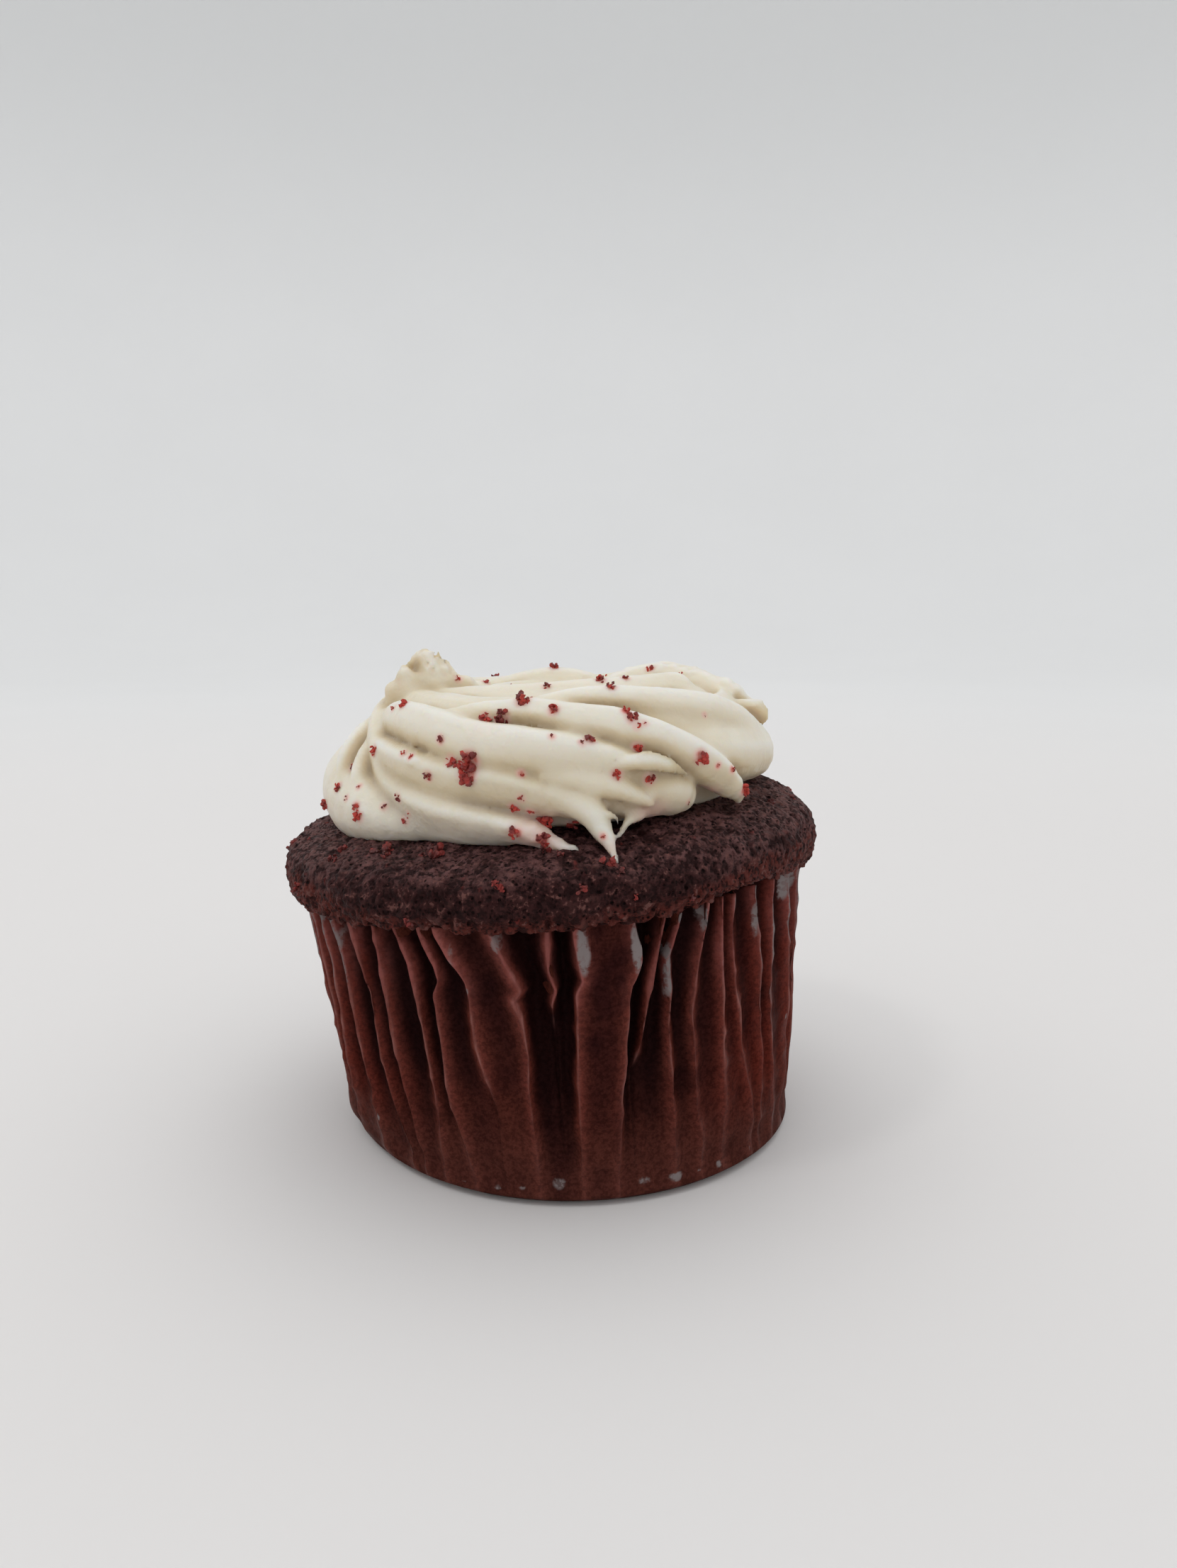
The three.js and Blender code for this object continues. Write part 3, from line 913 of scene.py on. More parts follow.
@dataclass(frozen=True)
class SpongeFinish:
    """Dark baked sponge, redder and crumblier where it is torn, with painted shade in its pores,
    its crevices and on the front of its lip, and painted light on its bumps and on the sides of
    its top.
    """

    title: str = "baked_sponge"
    crust: Colour = shade(0.148, 0.068, 0.066)
    crust_dark: Colour = shade(0.03, 0.0095, 0.0095)
    # painted shade on the front of the lip
    lower: Colour = shade(0.03, 0.0078, 0.0074)
    # painted sheen on the sides of the top
    side_sheen: Colour = shade(0.165, 0.086, 0.08)
    torn: Colour = shade(0.108, 0.0215, 0.015)
    # painted shade in the pores
    pore: Colour = shade(0.006, 0.0018, 0.0018)
    # painted shade in the crumb's crevices
    gap: Colour = shade(0.01, 0.0025, 0.0025)
    # painted light on the crumb's bumps
    lit: Colour = shade(0.145, 0.062, 0.054)
    bright: Colour = shade(0.16, 0.022, 0.018)
    roughness: float = 0.62

    def build(self, effects: Effects) -> Material:
        """Builds the material from the shared effects.

        Args:
            effects: the effects that finishes share.

        Returns:
            The material.
        """
        finish = Finish(self.title)
        sheet, where = finish.sheet, finish.where
        patches = effects.mottle.use(sheet, where, Scale=320.0, Low=0.3, High=0.7)["Mask"]
        specks = effects.mottle.use(sheet, where, Scale=1700.0, Low=0.45, High=0.7)["Mask"]
        pits = effects.pits.use(sheet, where, Scale=1650.0, Width=0.32)["Mask"]
        grain = effects.grain.use(sheet, where, Scale=3300.0, Coarse_Share=0.6)["Height"]
        torn, pit, red, low, high, front, side_sheen = (
            sheet.attribute(name)
            for name in ("torn", "pit", "red", "low", "high", "front", "side_sheen"))
        base = sheet.blend(patches, self.crust, self.crust_dark)
        # painted sheen on the sides of the top
        base = sheet.blend(sheet.times(side_sheen, 0.75), base, self.side_sheen)
        # painted shade on the front of the lip
        base = sheet.blend(sheet.times(front, 0.92), base, self.lower)
        base = sheet.blend(sheet.times(specks, 0.7), base, self.crust_dark)
        base = sheet.blend(sheet.times(torn, 0.75), base, self.torn)
        base = sheet.blend(sheet.times(red, 0.8), base, self.bright)
        # painted shade in the pores
        pore_shade = sheet.math("MAXIMUM", pit, sheet.times(pits, 0.95))
        base = sheet.blend(pore_shade, base, self.pore)
        # painted shade in the crevices
        crevice_shade = sheet.math("MAXIMUM", low, sheet.between(grain, 0.53, 0.42))
        base = sheet.blend(sheet.times(crevice_shade, 0.85), base, self.gap)
        # painted light on the bumps
        base = sheet.blend(sheet.times(high, 0.3), base, self.lit)
        base = sheet.blend(sheet.between(grain, 0.56, 0.66, 0.0, 0.9), base, self.lit)
        rough = sheet.between(specks, 0.0, 1.0, self.roughness - 0.06, self.roughness + 0.2)
        pitted = finish.bump(sheet.math("SUBTRACT", 1.0, pits), 0.00025, 1.0)
        finish.set(Base_Color=base, Roughness=rough, Specular_IOR_Level=0.08,
                   Normal=finish.bump(grain, 0.00035, 1.0, pitted))
        return finish.material


@dataclass(frozen=True)
class IcingFinish:
    """Ivory cream icing, moist and a little translucent, stained pink by the crumbs, with painted
    shade in its hollows and where it looks down, and painted light on its proud crests.
    """

    cream: Colour = shade(0.84, 0.79, 0.665)
    cream_warm: Colour = shade(0.81, 0.745, 0.59)
    # painted light on proud crests that face up
    pale: Colour = shade(0.885, 0.87, 0.82)
    # painted shade in the hollows and where the icing looks down, warmer high up and more neutral
    # low down
    shadow: Colour = shade(0.66, 0.54, 0.35)
    low_shadow: Colour = shade(0.685, 0.61, 0.505)
    # painted shade in the deepest hollows
    deep: Colour = shade(0.47, 0.36, 0.225)
    low_deep: Colour = shade(0.5, 0.415, 0.325)
    pink: Colour = shade(0.84, 0.5, 0.44)
    red: Colour = shade(0.62, 0.09, 0.06)
    roughness: float = 0.4

    def build(self, effects: Effects) -> Material:
        """Builds the material from the shared effects.

        Args:
            effects: the effects that finishes share.

        Returns:
            The material.
        """
        finish = Finish("cream_icing")
        sheet, where = finish.sheet, finish.where
        patches = effects.mottle.use(sheet, where, Scale=110.0, Low=0.3, High=0.7)["Mask"]
        cloud = effects.mottle.use(sheet, where, Scale=420.0, Low=0.35, High=0.7)["Mask"]
        grain = effects.grain.use(sheet, where, Scale=1500.0, Coarse_Share=0.7)["Height"]
        hollow, stain = sheet.attribute("hollow"), sheet.attribute("stain")
        smear, proud = sheet.attribute("smear"), sheet.attribute("proud")
        base = sheet.blend(patches, self.cream, self.cream_warm)
        # painted light on proud crests that face up
        base = sheet.blend(sheet.times(proud, 0.8), base, self.pale)
        # painted shade, in warmer tones high up and more neutral ones low down
        upper = sheet.between(sheet.height(where), 0.0375, 0.0435)
        shadow = sheet.blend(upper, self.low_shadow, self.shadow)
        deep = sheet.blend(upper, self.low_deep, self.deep)
        # painted shade in the hollows and where the icing looks down
        base = sheet.blend(sheet.between(hollow, 0.02, 0.62, 0.0, 0.95), base, shadow)
        base = sheet.blend(sheet.between(hollow, 0.5, 1.0, 0.0, 0.9), base, deep)
        base = sheet.blend(sheet.times(smear, 0.5), base, self.pink)
        halo = sheet.times(stain, sheet.between(cloud, 0.0, 1.0, 0.6, 1.0))
        base = sheet.blend(sheet.between(halo, 0.05, 0.7, 0.0, 0.6), base, self.pink)
        base = sheet.blend(sheet.between(halo, 0.55, 1.0, 0.0, 0.85), base, self.red)
        rough = sheet.between(cloud, 0.0, 1.0, self.roughness - 0.08, self.roughness + 0.14)
        waved = finish.bump(cloud, 0.00022, 0.5)
        finish.set(Base_Color=base, Roughness=rough, Specular_IOR_Level=0.45,
                   Subsurface_Weight=0.5, Subsurface_Radius=(1.0, 0.72, 0.42),
                   Subsurface_Scale=0.0026,
                   Normal=finish.bump(grain, 0.00005, 0.6, waved))
        return finish.material


@dataclass(frozen=True)
class CrumbFinish:
    """Loose red crumbs, moist and bright where the icing has wetted them."""

    title: str = "moist_crumb"
    dark: Colour = shade(0.165, 0.018, 0.016)
    bright: Colour = shade(0.52, 0.052, 0.036)
    # painted shade in the pits
    pore: Colour = shade(0.02, 0.003, 0.003)
    roughness: float = 0.5

    def build(self, effects: Effects) -> Material:
        """Builds the material from the shared effects.

        Args:
            effects: the effects that finishes share.

        Returns:
            The material.
        """
        finish = Finish(self.title)
        sheet, where = finish.sheet, finish.where
        patches = effects.mottle.use(sheet, where, Scale=520.0, Low=0.38, High=0.62)["Mask"]
        pits = effects.pits.use(sheet, where, Scale=2600.0, Width=0.3)["Mask"]
        grain = effects.grain.use(sheet, where, Scale=3600.0, Coarse_Share=0.5)["Height"]
        base = sheet.blend(patches, self.dark, self.bright)
        # painted shade in the pits
        base = sheet.blend(sheet.times(pits, 0.6), base, self.pore)
        rough = sheet.between(patches, 0.0, 1.0, self.roughness, self.roughness + 0.25)
        finish.set(Base_Color=base, Roughness=rough, Normal=finish.bump(grain, 0.00012, 0.8))
        return finish.material


@dataclass(frozen=True)
class BackdropFinish:
    """A pale seamless sweep, slightly mottled, cooler up its wall, with painted shade darkening it
    towards its top.
    """

    floor: Colour = shade(0.85, 0.835, 0.825)
    wall: Colour = shade(0.915, 0.92, 0.918)
    # the painted shade towards the top of the wall, also used for the mottling
    high: Colour = shade(0.775, 0.782, 0.78)

    def build(self, effects: Effects) -> Material:
        """Builds the material from the shared effects.

        Args:
            effects: the effects that finishes share.

        Returns:
            The material.
        """
        finish = Finish("backdrop")
        sheet = finish.sheet
        patches = effects.mottle.use(sheet, finish.where, Scale=6.0, Low=0.3, High=0.7)["Mask"]
        height = sheet.height(finish.where)
        reach = sheet.add("ShaderNodeVectorMath", {0: finish.where}, operation="LENGTH")
        base = sheet.blend(sheet.between(reach.outputs["Value"], 0.12, 0.7), self.floor, self.wall)
        # painted shade towards the top of the wall
        base = sheet.blend(sheet.between(height, 0.3, 0.85), base, self.high)
        base = sheet.blend(sheet.times(patches, 0.08), base, self.high)
        finish.set(Base_Color=base, Roughness=0.95, Specular_IOR_Level=0.1)
        return finish.material


# ---- Paper case ----

@dataclass(frozen=True)
class Ridge:
    """One fold of the paper: how it wanders down the wall, and the valley after it."""

    track: Knots        # height and azimuth, from the rim down
    depth: Optional[float] = None  # of the valley after it, at the rim
    fades: float = 0.0             # below this height the ridge sinks into its valleys

    def azimuth_at(self, heights: Array) -> Array:
        """Azimuth of the ridge at heights."""
        levels, azimuths = np.array(self.track[::-1]).T
        return np.interp(heights, levels, azimuths)

    def lost(self, heights: Array) -> Array:
        """How far the ridge has sunk into its valleys at heights, from 0 to 1."""
        if not self.fades:
            return np.zeros((len(heights), 1))
        return smoothstep(heights, self.fades + 3.5, self.fades - 1.5)[:, None]


FRONT_RIDGES: Tuple[Ridge, ...] = (
    Ridge(((30, -82), (15, -81), (3, -84))),
    Ridge(((30, -74), (20, -71.5), (10, -74), (3, -77.5))),
    Ridge(((30, -66), (23, -64), (18, -62.5), (9.5, -66), (4, -70))),
    Ridge(((30, -59), (25.5, -57), (18, -57.5), (12, -60.5), (3, -61))),
    Ridge(((30, -52.5), (25.5, -50.5), (20, -50.5), (12, -51), (5, -49.5))),
    Ridge(((30, -45), (26, -44), (22, -42.5), (14, -42.5), (8, -40.5), (4, -38.5))),
    Ridge(((30, -37.5), (22, -37), (16.5, -37), (10, -36), (3.5, -34.5))),
    Ridge(((30, -31.5), (26.5, -29), (22, -28.5), (10, -27.5), (4, -28.5)), 2.3),
    Ridge(((30, -25.5), (26.5, -23), (24.8, -22.7), (23.2, -24.1), (11.5, -24), (5.5, -21.5),
        (2.5, -20.5)), 1.9),
    Ridge(((30, -21.8), (27, -19), (24.8, -16.9), (22.8, -16.5), (17.5, -16.2), (14, -14.6),
        (10.5, -13.2)), 1.2, 12),
    Ridge(((30, -10.5), (27, -8.4), (24.7, -6.3), (24, -5.9), (23, -7.4), (21.3, -6.1),
        (16.8, -5.3), (13.6, -6), (4, -5.6)), 3.2),
    Ridge(((29.5, 0.4), (26, 0), (24.8, 0.6), (23.9, 1.2), (22.4, 0.2), (20, 0.1)), 3.2, 20),
    Ridge(((30, 5.4), (26.5, 5.6), (25.4, 6.2), (24.6, 6.5), (23.5, 5.1), (22.4, 5), (17.4, 4.5),
        (5, 3.9)), -0.15),
    Ridge(((30, 17.6), (27.4, 18.6), (26.2, 18.4), (23.6, 16.4), (21, 15.8), (15.7, 14.2),
        (10.7, 13.1), (3.4, 12)), 3),
    Ridge(((30, 23.6), (24.8, 20.8), (22.6, 19.8), (16.7, 17.6), (14, 16)), 2.9, 15),
    Ridge(((30, 27), (27, 25), (25.6, 23.8), (21.7, 24.6), (18.8, 24), (12, 25), (4, 25.6)), 2),
    Ridge(((30, 33.9), (24.8, 31.2), (19.7, 29.6), (15.3, 30.4), (9, 31), (5.5, 32.5)), 1.5),
    Ridge(((30, 37.2), (25.3, 37.2), (18.2, 38.2), (10.3, 38.6), (3, 39)), 0.9),
    Ridge(((30, 40.3), (25.8, 40.2), (21.1, 41.4), (13.5, 44.5), (7.8, 48.3), (4, 49.8)), 1.4),
    Ridge(((30, 47.6), (23.2, 50), (16.2, 51.6), (8, 52.8), (2, 53)), 1.3),
    Ridge(((30, 54.5), (18.2, 55.5), (11.5, 57.5), (4.4, 60.2)), 1.6),
    Ridge(((30, 63.5), (26, 64.5), (15.4, 68.5), (8, 69.5), (2, 68))),
    Ridge(((30, 73), (15, 75.5), (3, 76.5))),
    Ridge(((30, 81), (15, 83), (3, 84.5))),
)


@dataclass
class PaperCase:
    """The pleated paper case with its flat base."""

    thickness: float = 0.3
    height: float = 30.8
    base_radius: float = 24.9
    foot_radius: float = 26.2
    foot_height: float = 0.9
    wall_at_floor: float = 26.4
    wall_flare: float = 0.094
    depth_at_rim: float = 2.5
    unevenness: float = 0.3
    flank_width: float = 0.17      # of a ridge's flanks, as a share of the pleat
    edge_width: float = 0.026
    ridge_width: float = 0.2
    drawn_in: Knot = (-55.0, 28.0, 0.9)   # azimuth, width and depth of the drawn-in foot
    bulging: Knot = (-78.0, 18.0, 0.5)    # and of the bulge above it
    back_count: int = 22
    columns_per_pleat: int = 16
    rows: int = 92
    lean: Lean = Lean()
    # azimuth, height, half width in degrees, half height, strength
    dry_patches: Knots = (
        (17.5, 27.8, 1.5, 2.6, 1), (6.8, 27.7, 1.3, 2.8, 1), (24.2, 25, 0.9, 3.2, 0.9),
        (26.8, 30, 0.9, 0.9, 1.1), (33, 29, 1, 2, 0.7), (48.2, 27.5, 0.8, 2.2, 0.7),
        (62.5, 29, 1.6, 1.8, 0.9), (65, 27.5, 0.7, 3.5, 0.7), (-16.9, 23.8, 0.5, 0.5, 1),
        (-9.6, 29, 1.1, 1.6, 0.6), (-26.5, 29.2, 1, 1.3, 0.5), (-41.5, 24.5, 0.5, 2.4, 0.6),
        (-51, 25.5, 0.6, 3.5, 0.6), (-58.5, 28, 0.8, 3, 0.6), (-49.2, 5.8, 0.5, 0.6, 0.8),
        (-19, 27.2, 0.7, 2.6, 0.5), (56, 29, 1.5, 1.4, 0.6), (72, 28.5, 1.2, 2.2, 0.7),
        (67.6, 13.6, 0.35, 0.3, 1.1), (53.6, 15.6, 0.35, 0.25, 1),
    )
    # where the paper lies in deep shade, low in the two widest valleys
    dark_patches: Knots = ((-0.8, 8.0, 3.3, 10.0, 0.85), (11.0, 11.0, 3.0, 6.0, 0.5))
    # the pale spots along the foot
    foot_spots: Knots = (
        (-15.5, 1.7, 1.1, 0.35, 0.95), (-9.9, 1.9, 0.9, 0.3, 0.8), (-1.3, 2.5, 1.8, 0.75, 0.85),
        (17.8, 2.1, 1.8, 0.5, 0.8), (25.5, 2, 1.9, 0.6, 1), (31.9, 1.9, 0.5, 0.3, 0.8),
        (37.9, 1.8, 0.9, 0.45, 1), (-24, 1.5, 0.7, 0.25, 0.6), (-51, 1.8, 0.8, 0.3, 0.6),
        (49, 1.8, 0.6, 0.3, 0.6),
    )

    def ridges(self) -> List[Ridge]:
        """All the folds, once round: the crowded front ones, and the rest by rule.

        Returns:
            The ridges by their azimuth.
        """
        first, last = FRONT_RIDGES[0].track[0][1], FRONT_RIDGES[-1].track[0][1]
        pitch = (first + 360.0 - last) / (self.back_count + 1)
        back = []
        for k in range(self.back_count):
            azimuth = last + pitch * (k + 1 + 0.22 * jitter(k, 1))
            sway = [1.6 * jitter(k, 20 + level) for level in range(4)]
            track = tuple((height, azimuth + shift)
                          for height, shift in zip((30, 24, 15, 4), [0.0] + sway[1:]))
            back.append(Ridge(track))
        return [*FRONT_RIDGES, *back]

    def pleat(self, k: int, ridges: List[Ridge], heights: Array,
              share: Array) -> Tuple[Array, ...]:
        """One valley, with the halves of the two ridges beside it.

        Args:
            k: number of the first of the two ridges.
            ridges: all the ridges.
            heights: heights of the rows.
            share: place of each column between the two ridges, from 0 to 1.

        Returns:
            The depth, and how far each point is on a flank, on an edge and in the middle.
        """
        ridge, after = ridges[k], ridges[(k + 1) % len(ridges)]
        uneven = 1 + self.unevenness * jitter(k, 2)
        depth = self.depth_at_rim * uneven if ridge.depth is None else ridge.depth
        rise = np.where(heights > self.foot_height, heights / self.height, 0.0) ** 0.8
        valley = 1.0 - np.abs(2 * share - 1) ** 1.8
        lost, lost_after = ridge.lost(heights), after.lost(heights)
        kept = 1 - lost * (1 - share) ** 2 - lost_after * share ** 2
        sunk = abs(depth) * (1 - kept * (1 - valley)) * np.sign(depth) * rise[:, None]
        beside = 1 - np.where(share < 0.5, lost, lost_after)
        away = np.minimum(share, 1 - share)
        flank = np.exp(-(away / self.flank_width) ** 2) * beside
        edge = np.exp(-(away / self.edge_width) ** 2) * beside
        middle = 1 - np.exp(-(away / self.ridge_width) ** 2) * beside
        return sunk, flank, edge, middle * (0.85 + 0.15 * jitter(k, 3))

    def wall_radius(self, azimuth: Array, heights: Array, level: Array) -> Array:
        """Radius of the wall over its ridges, with the uneven foot.

        Args:
            azimuth: azimuth of each point.
            heights: heights of the rows.
            level: height of each point.

        Returns:
            One radius for each point.
        """
        foot = np.sqrt(np.clip(heights / self.foot_height, 0.0, 1.0))
        radius = np.where(
            heights < self.foot_height,
            self.base_radius + (self.foot_radius - self.base_radius) * foot,
            self.wall_at_floor + self.wall_flare * heights)
        where, width, amount = self.drawn_in
        tucked = amount * np.exp(-((azimuth - where) / width) ** 2) * smoothstep(level, 2.4, 0.0)
        where, width, amount = self.bulging
        bulge = amount * np.exp(-((azimuth - where) / width) ** 2 - ((level - 3.2) / 1.6) ** 2)
        rounded = 0.25 * np.exp(-((level - 3.0) / 1.6) ** 2)
        return radius[:, None] - rounded - tucked + bulge

    def wall(self) -> Tuple[Array, Dict[str, Array]]:
        """The outside of the pleated wall.

        Returns:
            Points as (row, column, 3), and for each whether it lies on the flank or on the
            edge of a ridge, how far from the ridges and how deep in a valley, all 0 to 1. The
            finish paints light on the ridges and shade between them from these.
        """
        ridges = self.ridges()
        heights = np.concatenate([[0.0, 0.25, 0.55], np.linspace(
            self.foot_height, self.height, self.rows - 3)])
        share = np.arange(self.columns_per_pleat) / self.columns_per_pleat
        share = share - 0.07 * np.sin(2 * np.pi * share)
        tracks = np.stack([ridge.azimuth_at(heights) for ridge in ridges], axis=1)
        tracks = np.hstack([tracks, tracks[:, :1] + 360.0])
        azimuth = np.hstack([tracks[:, k:k + 1] * (1 - share) + tracks[:, k + 1:k + 2] * share
                             for k in range(len(ridges))])
        pleats = [self.pleat(k, ridges, heights, share) for k in range(len(ridges))]
        depth, flank, edge, middle = (np.hstack(parts) for parts in zip(*pleats))
        level = np.broadcast_to(heights[:, None], azimuth.shape)
        points = outward(azimuth) * (self.wall_radius(azimuth, heights, level) - depth)[..., None]
        points[..., 2] = level
        upper = smoothstep(level + 2.5 * Noise(14).at(points, (4.0, 4.0, 6.0)), 8.5, 16.0)
        return points, {"flank": flank * (0.7 + 0.3 * upper),
                        "edge": edge * (0.12 + 0.88 * upper),
                        "dim": middle * (0.42 + 0.58 * upper),
                        "sunk": np.clip(depth / 1.9, 0, 1)}

    def crumple(self, points: Array) -> Array:
        """Small dents and creases in the paper, in millimetres.

        Args:
            points: points of the wall.

        Returns:
            How far each is raised.
        """
        noise = Noise(11)
        broad = 0.22 * noise.at(points, (3.4, 3.4, 6.0))
        crease = 0.28 * (0.35 - np.abs(noise.at(points, (2.4, 2.4, 3.0))))
        fine = 0.07 * noise.at(points, (0.8, 0.8, 1.3))
        rise = smoothstep(points[..., 2], 0.8, 4.0)
        return (broad + crease + fine) * rise

    @staticmethod
    def azimuths(points: Array) -> Array:
        """The points' azimuths in degrees, between -180 and 180."""
        return np.degrees(np.arctan2(points[..., 0], -points[..., 1]))

    def spots(self, points: Array, patches: Iterable[Knot]) -> Array:
        """How much each point lies in one of the patches, from 0 to about 1.

        Args:
            points: points of the wall.
            patches: azimuth, height, both half sizes and strength of each.

        Returns:
            One number for each point.
        """
        azimuth = self.azimuths(points)
        ragged = 1 + 0.22 * Noise(12).at(points, 1.1)
        total = np.zeros(azimuth.shape)
        for where, height, wide, high, strength in patches:
            away = ((azimuth - where) / wide) ** 2 + ((points[..., 2] - height) / high) ** 2
            total = np.maximum(total, strength * smoothstep(np.sqrt(away) * ragged, 1.35, 0.45))
        return total

    def tones(self, outer: Array, lift: Array, values: Dict[str, Array]) -> Dict[str, Array]:
        """Values for the finish.

        Args:
            outer: points of the wall.
            lift: how far the crumples raise each of them.
            values: what `wall` gives.

        Returns:
            These values and those for dry, soaked, pink and shaded paper, by name: the pink is
            painted sheen near the rim, the shade is painted shade between the ridges and in
            dents, and the dry paper also carries painted sheen along the ridges of the sides.
        """
        flank, edge = values["flank"], values["edge"]
        rim = smoothstep(outer[..., 2], 19.5, 28.0)
        broken = 0.75 + 0.5 * Noise(13).at(outer, (1.6, 1.6, 5.0))
        side = (smoothstep(np.abs(self.azimuths(outer)), 26.0, 52.0)
                * smoothstep(outer[..., 2], 2.0, 13.0))
        dry = np.maximum(self.spots(outer, self.dry_patches),
                         0.8 * self.spots(outer, self.foot_spots))
        # painted sheen along the ridges of the sides, kept with the dry patches
        dry_ridge_sheen = 1.1 * edge * side * smoothstep(outer[..., 2], 17.0, 25.0)
        # painted shade in the crumple's dents
        dent_shade = smoothstep(-lift, 0.02, 0.24)
        # painted shade: darker between the ridges, in the widest valleys and in the dents
        dim = np.maximum(values["dim"], self.spots(outer, self.dark_patches))
        dim = np.clip(dim * (0.8 + 0.2 * dent_shade) + 0.3 * dent_shade, 0, 1)
        # painted pink sheen on the flanks and edges near the rim
        pink = np.clip(rim * (0.5 * flank + 1.2 * edge) * broken, 0, 1)
        return {**values, "dim": dim, "dry": np.maximum(dry, dry_ridge_sheen * broken), "side": side,
                "pink": pink}

    def build(self, finish: Material) -> bpy.types.Object:
        """Makes the case.

        Args:
            finish: its material.

        Returns:
            The finished piece.
        """
        outer, values = self.wall()
        columns = outer.shape[1]
        lift = self.crumple(outer)
        outer = outer + tube_normals(outer) * lift[..., None]
        outer[0, :, 2] = 0.0
        inner = outer[::-6].copy()
        direction = unit(inner * (1.0, 1.0, 0.0))
        inner -= direction * self.thickness
        inner[-1] -= direction[-1] * self.thickness
        inner[..., 2] = np.maximum(inner[..., 2], self.thickness)
        grid = np.concatenate([outer, inner])
        floor = np.zeros((1, 3))
        top = np.array([[0.0, 0.0, self.thickness]])
        points = self.lean.settle(np.vstack([floor, grid.reshape(-1, 3), top]))
        hidden = np.zeros(len(inner) * columns + 1)
        values = {title: np.concatenate([[0.0], value.ravel(), hidden])
                  for title, value in self.tones(outer, lift, values).items()}
        faces = wrapped_faces(len(grid), columns)
        piece = Shell(points, faces, values).make("pleated_case", finish)
        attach(piece, BODY)
        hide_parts("paper_case")
        return piece


# ---- Cake ----

